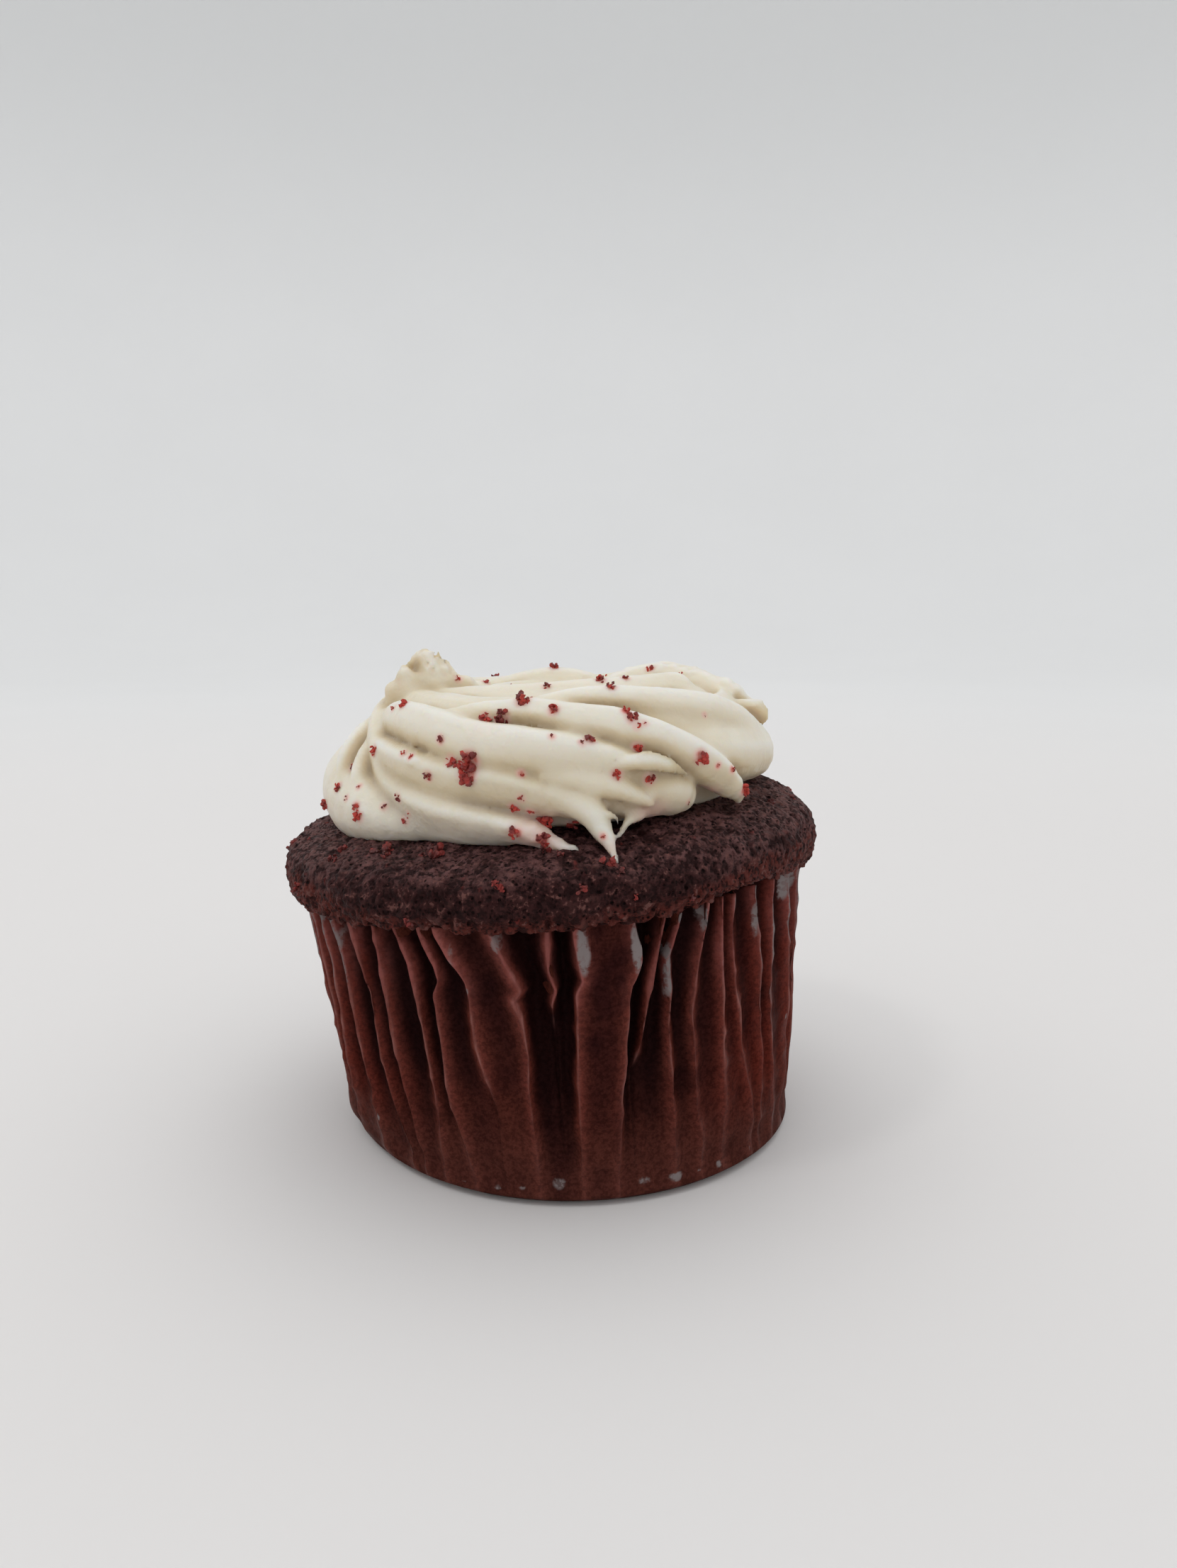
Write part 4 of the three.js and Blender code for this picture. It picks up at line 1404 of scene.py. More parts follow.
@dataclass
class Cake:
    """The baked cake: its dome, with pores and crumb, and its torn lip."""

    form: CakeForm = CakeForm()
    floor: float = 0.75
    foot_radius: float = 24.2
    side_radius: float = 25.2
    side_foot: float = 2.2
    front_columns: int = 640
    back_columns: int = 300
    lip_rows: int = 22
    dome_rows: int = 58
    hidden_rows: int = 8
    hidden_radius: float = 20.0
    samples: int = 400
    last_lip_knot: int = 6
    pore_depth: float = 0.36
    fine_pores: Pores = Pores(0.8, 0.55, 0.14, 0.32, 21)
    large_pores: Pores = Pores(1.6, 0.5, 0.22, 0.5, 22)

    def azimuths(self) -> Array:
        """Azimuths of the columns, closer together in front.

        Returns:
            Azimuths in degrees.
        """
        front = np.linspace(-105, 105, self.front_columns, endpoint=False)
        back = np.linspace(105, 255, self.back_columns, endpoint=False)
        around = np.concatenate([front, back])
        return np.where(around > 180, around - 360, around)

    def profile(self, azimuth: Array) -> Array:
        """Radius, height and row number of the section's knots, as (knot, column, 3).

        Args:
            azimuth: azimuth of each column.

        Returns:
            The knots.
        """
        edge = self.form.lip_edge(azimuth)
        tuck = self.form.lip_tuck(azimuth)
        ones = np.ones_like(edge)
        lip = [
            (28.6 - tuck, np.maximum(self.form.underside, edge + 0.3), -1.6),
            (29.45 - tuck, np.minimum(edge + 1.2, np.maximum(edge, self.form.underside)), -1.1),
            (29.55 - tuck, edge + 0.25, -0.5),
            (29.85 - tuck, edge, -0.1),
            (30.2 - 0.75 * tuck, edge + 0.45, 0.3),
            (30.55 - 0.4 * tuck, np.minimum(edge + 1.3, 31.9), 0.7),
            (30.75 * ones, 32.2 * ones, 1.0),
        ]
        knots = [np.stack([r, z, row * ones], axis=-1) for r, z, row in lip]
        knots += [np.stack([r * ones, z * ones, (row + 2) * ones], axis=-1)
                  for row, (r, z) in enumerate(self.form.dome[1:])]
        return np.stack(knots)

    def section(self, azimuth: Array) -> Tuple[Array, Array, Array]:
        """Radius, height and row number of the dome and lip, as (row, column).

        Args:
            azimuth: azimuth of each column.

        Returns:
            The radii, the heights and the row numbers.
        """
        knots = self.profile(azimuth)
        count = self.samples
        dense = curve_through(knots.reshape(len(knots), -1), count)
        dense = dense.reshape(count, *knots.shape[1:])
        middle = dense[:, len(azimuth) // 2, :2]
        run = np.concatenate([[0], np.cumsum(np.linalg.norm(np.diff(middle, axis=0), axis=1))])
        lip_end = run[int(count * self.last_lip_knot / (len(knots) - 1))]
        hidden = np.flatnonzero((middle[:, 0] < self.hidden_radius) & (middle[:, 1] > 36))
        dome_end = run[hidden[0]]
        stops = np.concatenate([
            np.linspace(0, lip_end, self.lip_rows, endpoint=False),
            np.linspace(lip_end, dome_end, self.dome_rows, endpoint=False),
            np.linspace(dome_end, run[-1] - 0.6, self.hidden_rows)])
        place = np.interp(stops, run, np.arange(count))
        low = np.minimum(place.astype(int), count - 2)
        part = (place - low)[:, None, None]
        rows = dense[low] * (1 - part) + dense[low + 1] * part
        return rows[..., 0], rows[..., 1], rows[..., 2]

    def pores(self, grid: Array, side: Array) -> Array:
        """How deep each point lies in a pore, which are longer and larger on the +X side.

        Args:
            grid: points as (row, column, 3).
            side: azimuth of each point.

        Returns:
            One depth for each point, from 0 to 1.
        """
        flat = grid.reshape(-1, 3)
        along = unit(np.gradient(grid, axis=0)).reshape(-1, 3)
        right = smoothstep(side, 5.0, 35.0) * smoothstep(side, 120.0, 90.0)
        stretch = 1.1 + 1.2 * right
        fine = self.fine_pores.at(flat, along, stretch)
        large = self.large_pores.at(flat, along, stretch) * (0.25 + 0.75 * right)
        return np.maximum(0.8 * fine, large)

    @staticmethod
    def tones(noise: Noise, flat: Array, row: Array, side: Array, edge: Array) -> Dict[str, Array]:
        """Values for the finish: where the cake is torn or reddish, where painted shade darkens
        the front of its lip and where painted sheen lightens the sides of its top.

        Args:
            noise: the noise of the surface.
            flat: the points.
            row: place of each point along the section.
            side: its azimuth.
            edge: its place along the section, from the ragged end of the torn lip.

        Returns:
            The values by name.
        """
        reach = 1.3 * smoothstep(-side, 28.0, 60.0) + 1.1 * smoothstep(side, 18.0, 45.0)
        torn = smoothstep(edge, 1.15, 0.25)
        centre = 1 - smoothstep(np.abs(side + 6), 30.0, 64.0)
        # painted shade on the front of the lip
        front = smoothstep(row + 0.5 * noise.at(flat, 4.0), 4.1, 1.9) * centre
        # painted sheen on the sides of the top
        side_sheen = smoothstep(row, 1.8, 3.6) * smoothstep(np.abs(side), 25.0, 75.0)
        return {"torn": smoothstep(edge - reach, 1.15, 0.25),
                "red": smoothstep(noise.at(flat, 0.9) + 0.12 * torn, 0.80, 1.0),
                "front": front, "side_sheen": side_sheen}

    def roughen(self, grid: Array, row: Array, azimuth: Array) -> Tuple[Array, Dict[str, Array]]:
        """Gives the smooth surface its crumb, wrinkles and pores.

        Args:
            grid: points as (row, column, 3).
            row: place of each point along the section.
            azimuth: azimuth of each column.

        Returns:
            The roughened points, and the values for the finish.
        """
        noise, detail = Noise(31), Noise(32)
        flat = grid.reshape(-1, 3)
        row = row.reshape(-1)
        side = np.broadcast_to(azimuth, grid.shape[:2]).reshape(-1)
        edge = row + 0.35 * noise.at(flat, 2.2)
        torn = smoothstep(edge, 1.15, 0.25)
        swell = 0.30 * noise.at(flat, 5.5) + 0.16 * noise.at(flat, 2.4)
        granular = 0.11 * detail.at(flat, 0.8) + 0.19 * noise.at(flat, 0.42)
        knobs = np.abs(detail.at(flat, 1.15))
        crumbly = torn * (0.16 * (knobs - 0.3) + 0.34 * detail.at(flat, 0.55))
        wrinkle = 0.06 * (0.4 - np.abs(noise.at(flat, (1.5, 1.5, 0.5))))
        pit = self.pores(grid, side) * (1 - 0.7 * torn)
        lift = swell + granular + wrinkle + crumbly - self.pore_depth * pit
        lift *= smoothstep(row, -1.5, -0.6)
        crumb = granular + crumbly
        # low and high carry painted shade in the crumb's crevices and painted light on its bumps
        values = {**self.tones(noise, flat, row, side, edge), "pit": pit,
                  "low": smoothstep(-crumb, 0.04, 0.26), "high": smoothstep(crumb, 0.06, 0.30)}
        return flat + tube_normals(grid).reshape(-1, 3) * lift[:, None], values

    def build(self, finish: Material) -> bpy.types.Object:
        """Makes the cake.

        Args:
            finish: its material.

        Returns:
            The finished piece.
        """
        azimuth = self.azimuths()
        radius, height, row = self.section(azimuth)
        around = np.broadcast_to(azimuth, radius.shape)
        grid = self.form.baked(around, radius, height, row)
        baked, values = self.roughen(grid, row, azimuth)
        inside = [(self.foot_radius, self.floor), (self.side_radius, self.side_foot),
                  (self.side_radius, 16.0), (self.side_radius, self.form.underside)]
        rings = []
        for ring_radius, ring_height in inside:
            ring = outward(azimuth) * ring_radius
            ring[:, 2] = ring_height
            rings.append(self.form.lean.settle(ring))
        below = self.form.lean.settle(np.array([[0.0, 0.0, self.floor]]))
        crown = self.form.baked(np.zeros(1), np.zeros(1), np.full(1, 41.4), np.full(1, 9.0))
        points = np.vstack([below, *rings, baked, crown])
        hidden = np.zeros(1 + len(inside) * len(azimuth))
        values = {title: np.concatenate([hidden, value, [0.0]]) for title, value in values.items()}
        faces = wrapped_faces(len(inside) + len(radius), len(azimuth))
        piece = Shell(points, faces, values).make("baked_cake", finish)
        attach(piece, BODY)
        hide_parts("cake")
        return piece


# ---- Icing ----

@dataclass(frozen=True)
class Strand:
    """A ridge of icing that the star nozzle left on the swirl.

    Each knot gives the azimuth and height of its crest, how far the crest stands proud of
    the swirl's form, and half the strand's width and thickness.
    """

    knots: Knots
    tilt: float = 0.0       # degrees that its face is turned upwards
    crest: float = 0.12     # how much its crest is drawn out to an edge
    blend: float = 0.45     # radius of the fillet where it meets what lies under it
    furrow: float = 0.05    # depth of the fine furrows along it

    def route(self, form: SwirlForm) -> "Route":
        """The strand's middle, its directions and its sizes, about every half millimetre.

        Args:
            form: what it lies on.

        Returns:
            The route.
        """
        knots = np.array(self.knots, float)
        rough, _ = form.place(knots[:, 0], knots[:, 1])
        length = np.linalg.norm(np.diff(rough, axis=0), axis=1).sum()
        azimuth, height, proud, wide, thick = curve_through(knots, max(int(length / 0.5), 8)).T
        crest, normal = form.place(azimuth, height)
        along = unit(np.gradient(crest, axis=0))
        side = unit(np.cross(normal, along))
        side *= np.where(side[:, 2:] < 0, -1.0, 1.0)
        turn = math.radians(self.tilt)
        face = unit(normal * math.cos(turn) + side * math.sin(turn))
        reach = thick * (1.0 + self.crest)
        middle = crest + normal * proud[:, None] - face * reach[:, None]
        return Route(middle, face, wide, thick)


class Route:
    """The middle of a rope, with its own directions and half its width and thickness."""

    stretch = 6     # how many points of the middle are worked on at a time

    def __init__(self, middle: Array, face: Array, wide: Array, thick: Array) -> None:
        """Sets the rope out.

        Args:
            middle: points along its middle.
            face: the way its face looks at each of them.
            wide: half its width.
            thick: half its thickness.
        """
        self.middle, self.wide, self.thick = middle, wide, thick
        self.along = unit(np.gradient(middle, axis=0))
        self.face = unit(face - self.along * np.sum(face * self.along, axis=1, keepdims=True))
        self.side = np.cross(self.along, self.face)
        self.gap = np.linalg.norm(np.diff(middle, axis=0), axis=1).mean()

    def near(self, start: int) -> slice:
        """The stretch that begins at point `start`, and two points more at each end."""
        return slice(max(start - 2, 0), min(start + self.stretch + 2, len(self.middle)))

    def window(self, axes: Sequence[Array], start: int, crest: float,
               margin: float) -> Tuple[slice, ...]:
        """The part of a lattice that one stretch of the rope can change.

        Args:
            axes: the lattice's coordinates.
            start: first point of the stretch.
            crest: how much the middle of its face is drawn out to an edge.
            margin: how far the rope's fillet reaches.

        Returns:
            One slice for each axis.
        """
        near = self.near(start)
        reach = max(self.wide[near].max(), self.thick[near].max()) * (1 + crest) + margin
        middle = self.middle[near]
        return tuple(slice(np.searchsorted(axis, middle[:, k].min() - reach),
                           np.searchsorted(axis, middle[:, k].max() + reach))
                     for k, axis in enumerate(axes))

    def distances(self, points: Array, start: int, crest: float, furrow: float) -> Array:
        """Distances from points to one stretch of the rope.

        Args:
            points: places in millimetres.
            start: first point of the stretch.
            crest: how much the middle of its face is drawn out to an edge.
            furrow: depth of the fine furrows along it.

        Returns:
            One distance for each point, negative inside.
        """
        near = self.near(start)
        offsets = points[:, None, :] - self.middle[near][None]
        closest = np.argmin(np.einsum("ijk,ijk->ij", offsets, offsets), axis=1)
        offset = offsets[np.arange(len(points)), closest]
        run = np.einsum("ij,ij->i", offset, self.along[near][closest])
        over = run - np.clip(run, -self.gap / 2, self.gap / 2)
        high = np.einsum("ij,ij->i", offset, self.face[near][closest])
        wide = np.einsum("ij,ij->i", offset, self.side[near][closest])
        half_wide, half_thick = self.wide[near][closest], self.thick[near][closest]
        angle = np.arctan2(wide / half_wide, high / half_thick)
        drawn = 1 + crest * np.exp(-(angle / 0.5) ** 2)
        half_wide, half_thick = half_wide * drawn, half_thick * drawn
        small = np.minimum(half_wide, half_thick)
        k0 = np.sqrt((wide / half_wide) ** 2 + (high / half_thick) ** 2 + (over / small) ** 2)
        k1 = np.sqrt((wide / half_wide ** 2) ** 2 + (high / half_thick ** 2) ** 2
                     + (over / small ** 2) ** 2)
        place = (start + closest) * self.gap
        waves = np.sin(angle * 11 + 0.5 * np.sin(place * 0.5)) * 0.6
        waves += np.sin(angle * 23 + 1.3 + 0.7 * np.sin(place * 0.33)) * 0.4
        return k0 * (k0 - 1) / np.maximum(k1, 1e-6) - furrow * waves * smoothstep(small, 0.4, 1.6)


@dataclass(frozen=True)
class Rope:
    """A free rope of icing: each knot gives x, y, z and half its width and thickness."""

    knots: Knots
    face: Place = (0.0, -1.0, 0.0)
    crest: float = 0.0
    blend: float = 0.4
    furrow: float = 0.02

    def route(self, form: SwirlForm) -> Route:
        """The rope's middle, its directions and its sizes.

        Args:
            form: not used, as a rope lies free.

        Returns:
            The route.
        """
        knots = np.array(self.knots, float)
        length = np.linalg.norm(np.diff(knots[:, :3], axis=0), axis=1).sum()
        dense = curve_through(knots, max(int(length / 0.4), 6))
        face = np.broadcast_to(unit(np.array(self.face)), (len(dense), 3))
        return Route(dense[:, :3], face, np.maximum(dense[:, 3], 0.05),
                     np.maximum(dense[:, 4], 0.05))


@dataclass(frozen=True)
class Ragged:
    """A place where the icing is torn and rough."""

    centre: Place
    reach: float
    depth: float
    grain: Place = (0.9, 0.9, 0.9)


FRONT_STRANDS: Tuple[Strand, ...] = (
    # over the top to the right and down the outermost lobe
    Strand(((-24, 50.6, -1.6, 0.8, 1), (-12, 51.6, -0.6, 1.3, 1.4), (2, 52.3, 0, 1.5, 1.6),
        (16, 52.4, 0.1, 1.5, 1.6), (30, 52.3, 0, 1.6, 1.7), (43, 51.9, -0.1, 1.7, 1.7),
        (54, 51.3, -0.2, 1.8, 1.8), (63, 50.4, -0.5, 1.8, 1.8), (71, 49.3, -0.9, 1.8, 1.8),
        (77, 48, -1, 1.8, 1.8), (82, 46.6, -0.8, 1.8, 1.8), (86, 45, -0.5, 1.6, 1.6)), tilt=24,
        crest=0.2, blend=0.6),
    # the broad hollow under it
    Strand(((-20, 50.4, -1.9, 2, 2), (0, 50.4, -1.7, 2.4, 2.4), (20, 49.8, -1.7, 3, 2.8),
        (36, 48.8, -1.7, 3.4, 3), (50, 47.8, -1.5, 3.4, 3), (64, 47, -1.3, 3, 2.8),
        (78, 46.2, -1.3, 2.4, 2.4)), crest=0, blend=0.9),
    # the outermost lobe, under the hollow
    Strand(((34, 45.8, -1.1, 2, 2.2), (46, 45.2, -0.7, 2.6, 2.6), (56, 44.6, -0.3, 3, 2.9),
        (66, 44.1, -0.1, 3.1, 3), (76, 43.7, 0.1, 3, 2.9), (86, 43.3, 0.1, 2.8, 2.8),
        (98, 42.8, -0.2, 2.6, 2.6)), tilt=-6, crest=0, blend=1),
    # the long one that ends in a point low on the right
    Strand(((-40, 50.4, -1.2, 0.8, 1), (-26, 51.2, -0.4, 1.2, 1.3), (-10, 51.5, 0, 1.5, 1.5),
        (4, 51, 0.1, 1.8, 1.7), (17, 50.3, 0.2, 2, 1.9), (27, 48.9, 0.3, 2.1, 2),
        (36, 46.9, 0.4, 2.1, 1.9), (44, 44.6, 0.5, 1.9, 1.8), (49, 42.7, 0.5, 1.5, 1.4),
        (51, 41.2, 0.3, 0.8, 0.8), (51, 40.4, 0.1, 0.5, 0.5)), tilt=30, crest=0.30, blend=0.4),
    # the broad middle one
    Strand(((-68, 50.4, -1.2, 1.6, 1.8), (-54, 50.7, -0.2, 2, 2), (-37, 50.1, 0.2, 2.4, 2.2),
        (-23, 49.2, 0.3, 2.6, 2.3), (-9, 48.6, 0.4, 2.6, 2.3), (4, 47.7, 0.3, 2.5, 2.2),
        (13, 46.7, 0.2, 2.3, 2), (21, 45.5, 0.1, 1.8, 1.7), (28, 44.4, -0.3, 1.3, 1.3)), tilt=32,
        crest=0.30, blend=0.45),
    # the one that tears off over the cake in front
    Strand(((-63, 46.4, -0.8, 1.6, 1.7), (-54, 46.2, -0.1, 2, 2), (-44, 45.7, 0.2, 2.3, 2.1),
        (-34, 45.1, 0.3, 2.5, 2.3), (-24, 44.6, 0.3, 2.6, 2.3), (-14, 44.3, 0.3, 2.5, 2.2),
        (-6, 43.5, 0.3, 2.2, 1.9), (0, 42.4, 0.4, 1.7, 1.4), (4, 41.2, 0.5, 1, 0.9)), tilt=30,
        crest=0.26, blend=0.4, furrow=0.07),
    # down from the peak on the left and along the foot
    Strand(((-92, 51.2, -0.8, 1.8, 2.1), (-80, 50.4, -0.7, 2.2, 2.3), (-70, 49, -0.6, 2.4, 2.4),
        (-62, 46.8, -0.4, 2.4, 2.3), (-56, 44.5, -0.1, 2.3, 2.2), (-51, 42.8, 0.2, 2.2, 2.1),
        (-42, 41.6, 0.5, 2.3, 2.2), (-30, 40.6, 0.8, 2.3, 2.2), (-20, 40.1, 0.9, 2.1, 2),
        (-12, 39.6, 1.1, 1.7, 1.6), (-5, 38.9, 1.5, 1.15, 1), (0, 38.2, 2.1, 0.75, 0.6),
        (4, 37.7, 2.6, 0.45, 0.4), (8, 37.3, 2.9, 0.2, 0.25)), tilt=26, crest=0.26, blend=0.4),
    # the plump foot under it
    Strand(((-70, 38.6, 0.6, 2.4, 2.6), (-56, 38.2, 0.7, 2.4, 2.6), (-42, 37.8, 0.5, 2.2, 2.4),
        (-28, 37.4, 0.3, 1.9, 2.1), (-14, 37.2, -0.1, 1.2, 1.5)), crest=0, blend=0.8),
    # what fills the space behind the torn one
    Strand(((-34, 41, -1.2, 2.4, 2.4), (-20, 40.6, -1.2, 2.6, 2.4), (-8, 40.2, -1, 2.4, 2.2),
        (0, 39.8, -1.2, 1.8, 1.8), (6, 39.4, -1.6, 1.2, 1.2)), crest=0, blend=0.8),
)


@dataclass
class Icing:
    """The piped swirl, made as one volume of ropes and then wrapped in a skin."""

    form: SwirlForm = SwirlForm()
    cake: CakeForm = CakeForm()
    step: float = 0.3
    low: Place = (-31.0, -29.0, 33.0)
    high: Place = (26.5, 27.0, 56.6)
    far: float = 3.0
    sunk: float = 0.15          # how far its underside is pressed into the cake
    probes: Knot = (0.8, 1.5, 2.3)      # distances at which hollows are looked for
    top_pitch: float = 4.6      # from one furrow on top to the next
    top_turns: int = 1
    top_depth: float = 1.7
    back_count: int = 9
    back_start: float = 96.0    # azimuth where the strands of the unseen side begin
    back_sweep: float = 84.0    # how far round one of them runs
    # azimuth, width and depth of the places where the crown is lower
    back_dips: Knots = ((216, 32, 2.6), (169, 9, 0.9))
    strands: Tuple[Strand, ...] = FRONT_STRANDS
    ropes: Tuple[Rope, ...] = (
        # the fold that bulges out over the left shoulder
        Rope(((-9, 19, 41.5, 3.2, 3.4), (-18.5, 14, 42, 4, 4), (-22.8, 6, 41.3, 4.6, 4.5),
            (-23.9, -2, 40.2, 4.9, 4.7), (-22.7, -8.4, 39, 4.5, 4.3),
            (-19.8, -12.8, 38.2, 3.6, 3.4), (-15.6, -15.6, 37.6, 2.4, 2.4)), (-1, -0.2, 0),
            blend=0.5),
        # the narrow upright folds beside it
        Rope(((-20.2, -4, 47.6, 1, 1.2), (-22.2, -6.6, 46, 1.3, 1.7),
            (-23.4, -8.2, 43.6, 1.4, 2.1), (-23.4, -9.2, 41.2, 1.4, 2.1),
            (-22.2, -10.6, 39, 1.3, 1.8)), (-0.8, -0.6, 0), crest=0.15, blend=0.2),
        Rope(((-19.6, -7.4, 46.6, 1, 1.2), (-21.2, -9.4, 44.6, 1.2, 1.7),
            (-21.9, -10.9, 42.2, 1.3, 1.9), (-21.4, -12.2, 40, 1.3, 1.7)), (-0.7, -0.7, 0),
            crest=0.1, blend=0.3),
        # the inner turns on top
        Rope(((-13.5, -6, 48.4, 3, 2.6), (-4, -9, 49, 3.2, 2.8), (5, -8, 49.4, 3.4, 3),
            (11.5, -3, 49.5, 3.4, 3.1)), (0, 0, 1), crest=0.12, blend=0.6, furrow=0.06),
        # the turn behind, seen over the front one on the left
        Rope(((-14, 4, 44.8, 2.6, 2.4), (-11, 8, 46.6, 2.8, 2.6), (-7.4, 10.2, 48.6, 2.8, 2.8),
            (-2, 11, 49.6, 3, 2.8), (2, 10.6, 49.3, 2.6, 2.4), (4.4, 9.2, 48.2, 1.9, 1.9)),
            (0, -0.2, 1), crest=0.1, blend=0.45, furrow=0.06),
        # the turn behind on the right, up to its torn end
        Rope(((4.6, 5, 49, 2, 2.2), (7.4, 6.4, 50, 2.6, 2.6), (11, 6.2, 50.4, 3, 2.8),
            (14.6, 4.4, 50.1, 3, 2.7), (17, 1.4, 49, 2.5, 2.4), (18.2, -1.6, 47, 2.2, 2.2)),
            (0.1, -0.2, 1), crest=0.12, blend=0.4, furrow=0.07),
        Rope(((14, 9, 48.4, 3, 2.8), (8, 14, 47.8, 3.2, 3), (0, 15.4, 47.2, 3.2, 3),
            (-8, 14, 46.2, 3.2, 3), (-14, 9, 45.2, 3, 3)), (0, 0, 1), crest=0.12, blend=0.6,
            furrow=0.05),
        Rope(((4, 1, 48.8, 3, 2.3), (-2, 4, 48.4, 3.2, 2.3), (-8, 2, 47.8, 3.2, 2.3),
            (-13, -1, 47.6, 3, 2.6)), (0, 0, 1), crest=0.12, blend=0.6, furrow=0.05),
        # the rounded end of the middle strand, on the cake
        Rope(((4.2, -20.8, 43.6, 2.2, 2), (7.4, -20.4, 42.8, 2.7, 2.5),
            (9.8, -19.5, 42.1, 2.7, 2.6), (11, -18.6, 41.6, 2.1, 2.2)), (0.4, -0.9, 0), blend=0.5),
        Rope(((1, -22.2, 42, 2, 2), (4.5, -21.8, 41.8, 2.2, 2.2), (7.5, -20.8, 41.6, 2.2, 2.2)),
            (0.1, -1, 0), blend=0.6),
        # the leaf that overlaps it
        Rope(((4.4, -23.7, 45, 0.25, 0.4), (6.2, -23.6, 45.5, 0.8, 0.42),
            (8.3, -23, 45.5, 1.05, 0.4), (10.3, -22.1, 44.9, 0.8, 0.34),
            (12.1, -21.1, 43.9, 0.1, 0.15)), (0.42, -0.85, 0.3), crest=0.1, blend=0.12),
        # the flap with its torn tip
        Rope(((-2, -24.1, 44.3, 0.7, 0.5), (1, -24.2, 44.1, 1.3, 0.6), (4, -24, 43.3, 1.4, 0.55),
            (6.6, -23.5, 42.3, 1, 0.45), (8.1, -23.1, 41.4, 0.55, 0.35),
            (8.8, -22.9, 40.7, 0.25, 0.22), (9, -22.9, 40.1, 0.12, 0.15)), (0.25, -0.9, 0.3),
            blend=0.2),
        # the tongue that hangs down over the cake
        Rope(((-1.2, -23.8, 42.6, 1.6, 1), (1.2, -24.2, 41.7, 1.8, 1),
            (2.6, -24.6, 40.5, 1.55, 0.85), (3.4, -25.1, 39.1, 1.15, 0.7),
            (4.1, -25.9, 37.9, 0.70, 0.5), (4.6, -26.9, 36.9, 0.42, 0.38),
            (4.9, -27.8, 36.2, 0.30, 0.3), (5.1, -28.4, 35.6, 0.22, 0.25)), (0.15, -0.9, 0.35),
            blend=0.25),
        # the hook at its edge, and the torn arm that joins it to the rounded end
        Rope(((3.2, -24.9, 40.6, 0.5, 0.4), (4.6, -24.8, 40.4, 0.3, 0.28),
            (5, -24.9, 39.9, 0.14, 0.18)), (0.1, -0.9, 0.3), blend=0.15),
        Rope(((4.2, -25.6, 38.1, 0.4, 0.35), (4.9, -25, 38.3, 0.32, 0.28),
            (5.5, -24.4, 38.9, 0.35, 0.3), (6, -23.6, 39.6, 0.5, 0.42),
            (6.8, -22.4, 40.2, 1, 0.8)), (0.2, -0.9, 0.3), blend=0.25),
        # the torn ear at the right
        Rope(((17.6, -1, 47.6, 1.6, 1.4), (19.6, -1.4, 48.1, 1.6, 1),
            (21.3, -1.8, 48.2, 1.5, 0.65), (22.5, -2, 48, 1.2, 0.4)), (0.1, -1, 0.2), blend=0.2),
    )
    ragged: Tuple[Ragged, ...] = (
        Ragged((-15.4, -18.9, 45.6), 2.4, 0.26, (0.5, 0.5, 0.35)),
        Ragged((-9.4, -22.6, 44.8), 1.8, 0.20, (0.5, 0.5, 0.35)),
        Ragged((-3, -24.8, 37.8), 3.6, 0.30, (0.8, 0.8, 0.5)),
        Ragged((1.2, -25.8, 37), 2.6, 0.35, (0.6, 0.6, 0.4)),
        Ragged((22.4, -2, 48.4), 2.4, 0.45, (0.6, 0.6, 0.5)),
        Ragged((5, 8, 52.4), 4.5, 0.38, (0.9, 0.9, 0.7)),
        Ragged((13, 4.5, 53.2), 5, 0.34, (0.9, 0.9, 0.7)),
        Ragged((19, 0, 50), 3, 0.22, (0.9, 0.9, 0.9)),
        Ragged((8.6, -22.6, 40.6), 2, 0.22, (0.7, 0.7, 0.7)),
        Ragged((5.5, -24.6, 38.6), 1.8, 0.16, (0.5, 0.5, 0.5)),
    )
    smears: Knots = (
        (-3, -25.4, 37.6, 4.5, 1), (4.2, -26, 37, 2, 0.8), (8.4, -22, 39.4, 3.2, 0.9),
        (-24, -8, 38, 5, 0.3), (-8, -22.5, 50, 3, 0.2), (14.5, -17, 41.6, 2, 1),
    )
    peak: Knot = (-16.2, -2.5, 54.2)       # middle of the flaky part of the peak
    peak_reach: Knot = (6.5, 5.0, 3.6)
    # the torn peak: x, y, z of each spike's foot and tip, with both radii
    spikes: Knots = (
        (-15.4, -3, 47.5, -16.5, -3, 53.9, 5.2, 1.6),
        (-17.4, -4.4, 47.5, -18.3, -4.6, 52.4, 3.9, 1.3),
        (-18.6, -4.8, 47, -19.8, -5, 50.9, 3, 1.1), (-13, -2.4, 48, -14.6, -2.6, 52.6, 4.2, 1.4),
        (-11, -2.6, 48, -12, -2.8, 51.2, 3.6, 1.3), (-16.6, 0.5, 47.5, -17, 0, 53, 4.2, 1.3),
        (-14.4, 2, 47.5, -14.8, 2, 52, 3.6, 1.1),
    )

    def lattice(self) -> Tuple[Array, Array, Array]:
        """The coordinates of the volume's lattice, along each axis."""
        return tuple(np.arange(low, high, self.step) for low, high in zip(self.low, self.high))

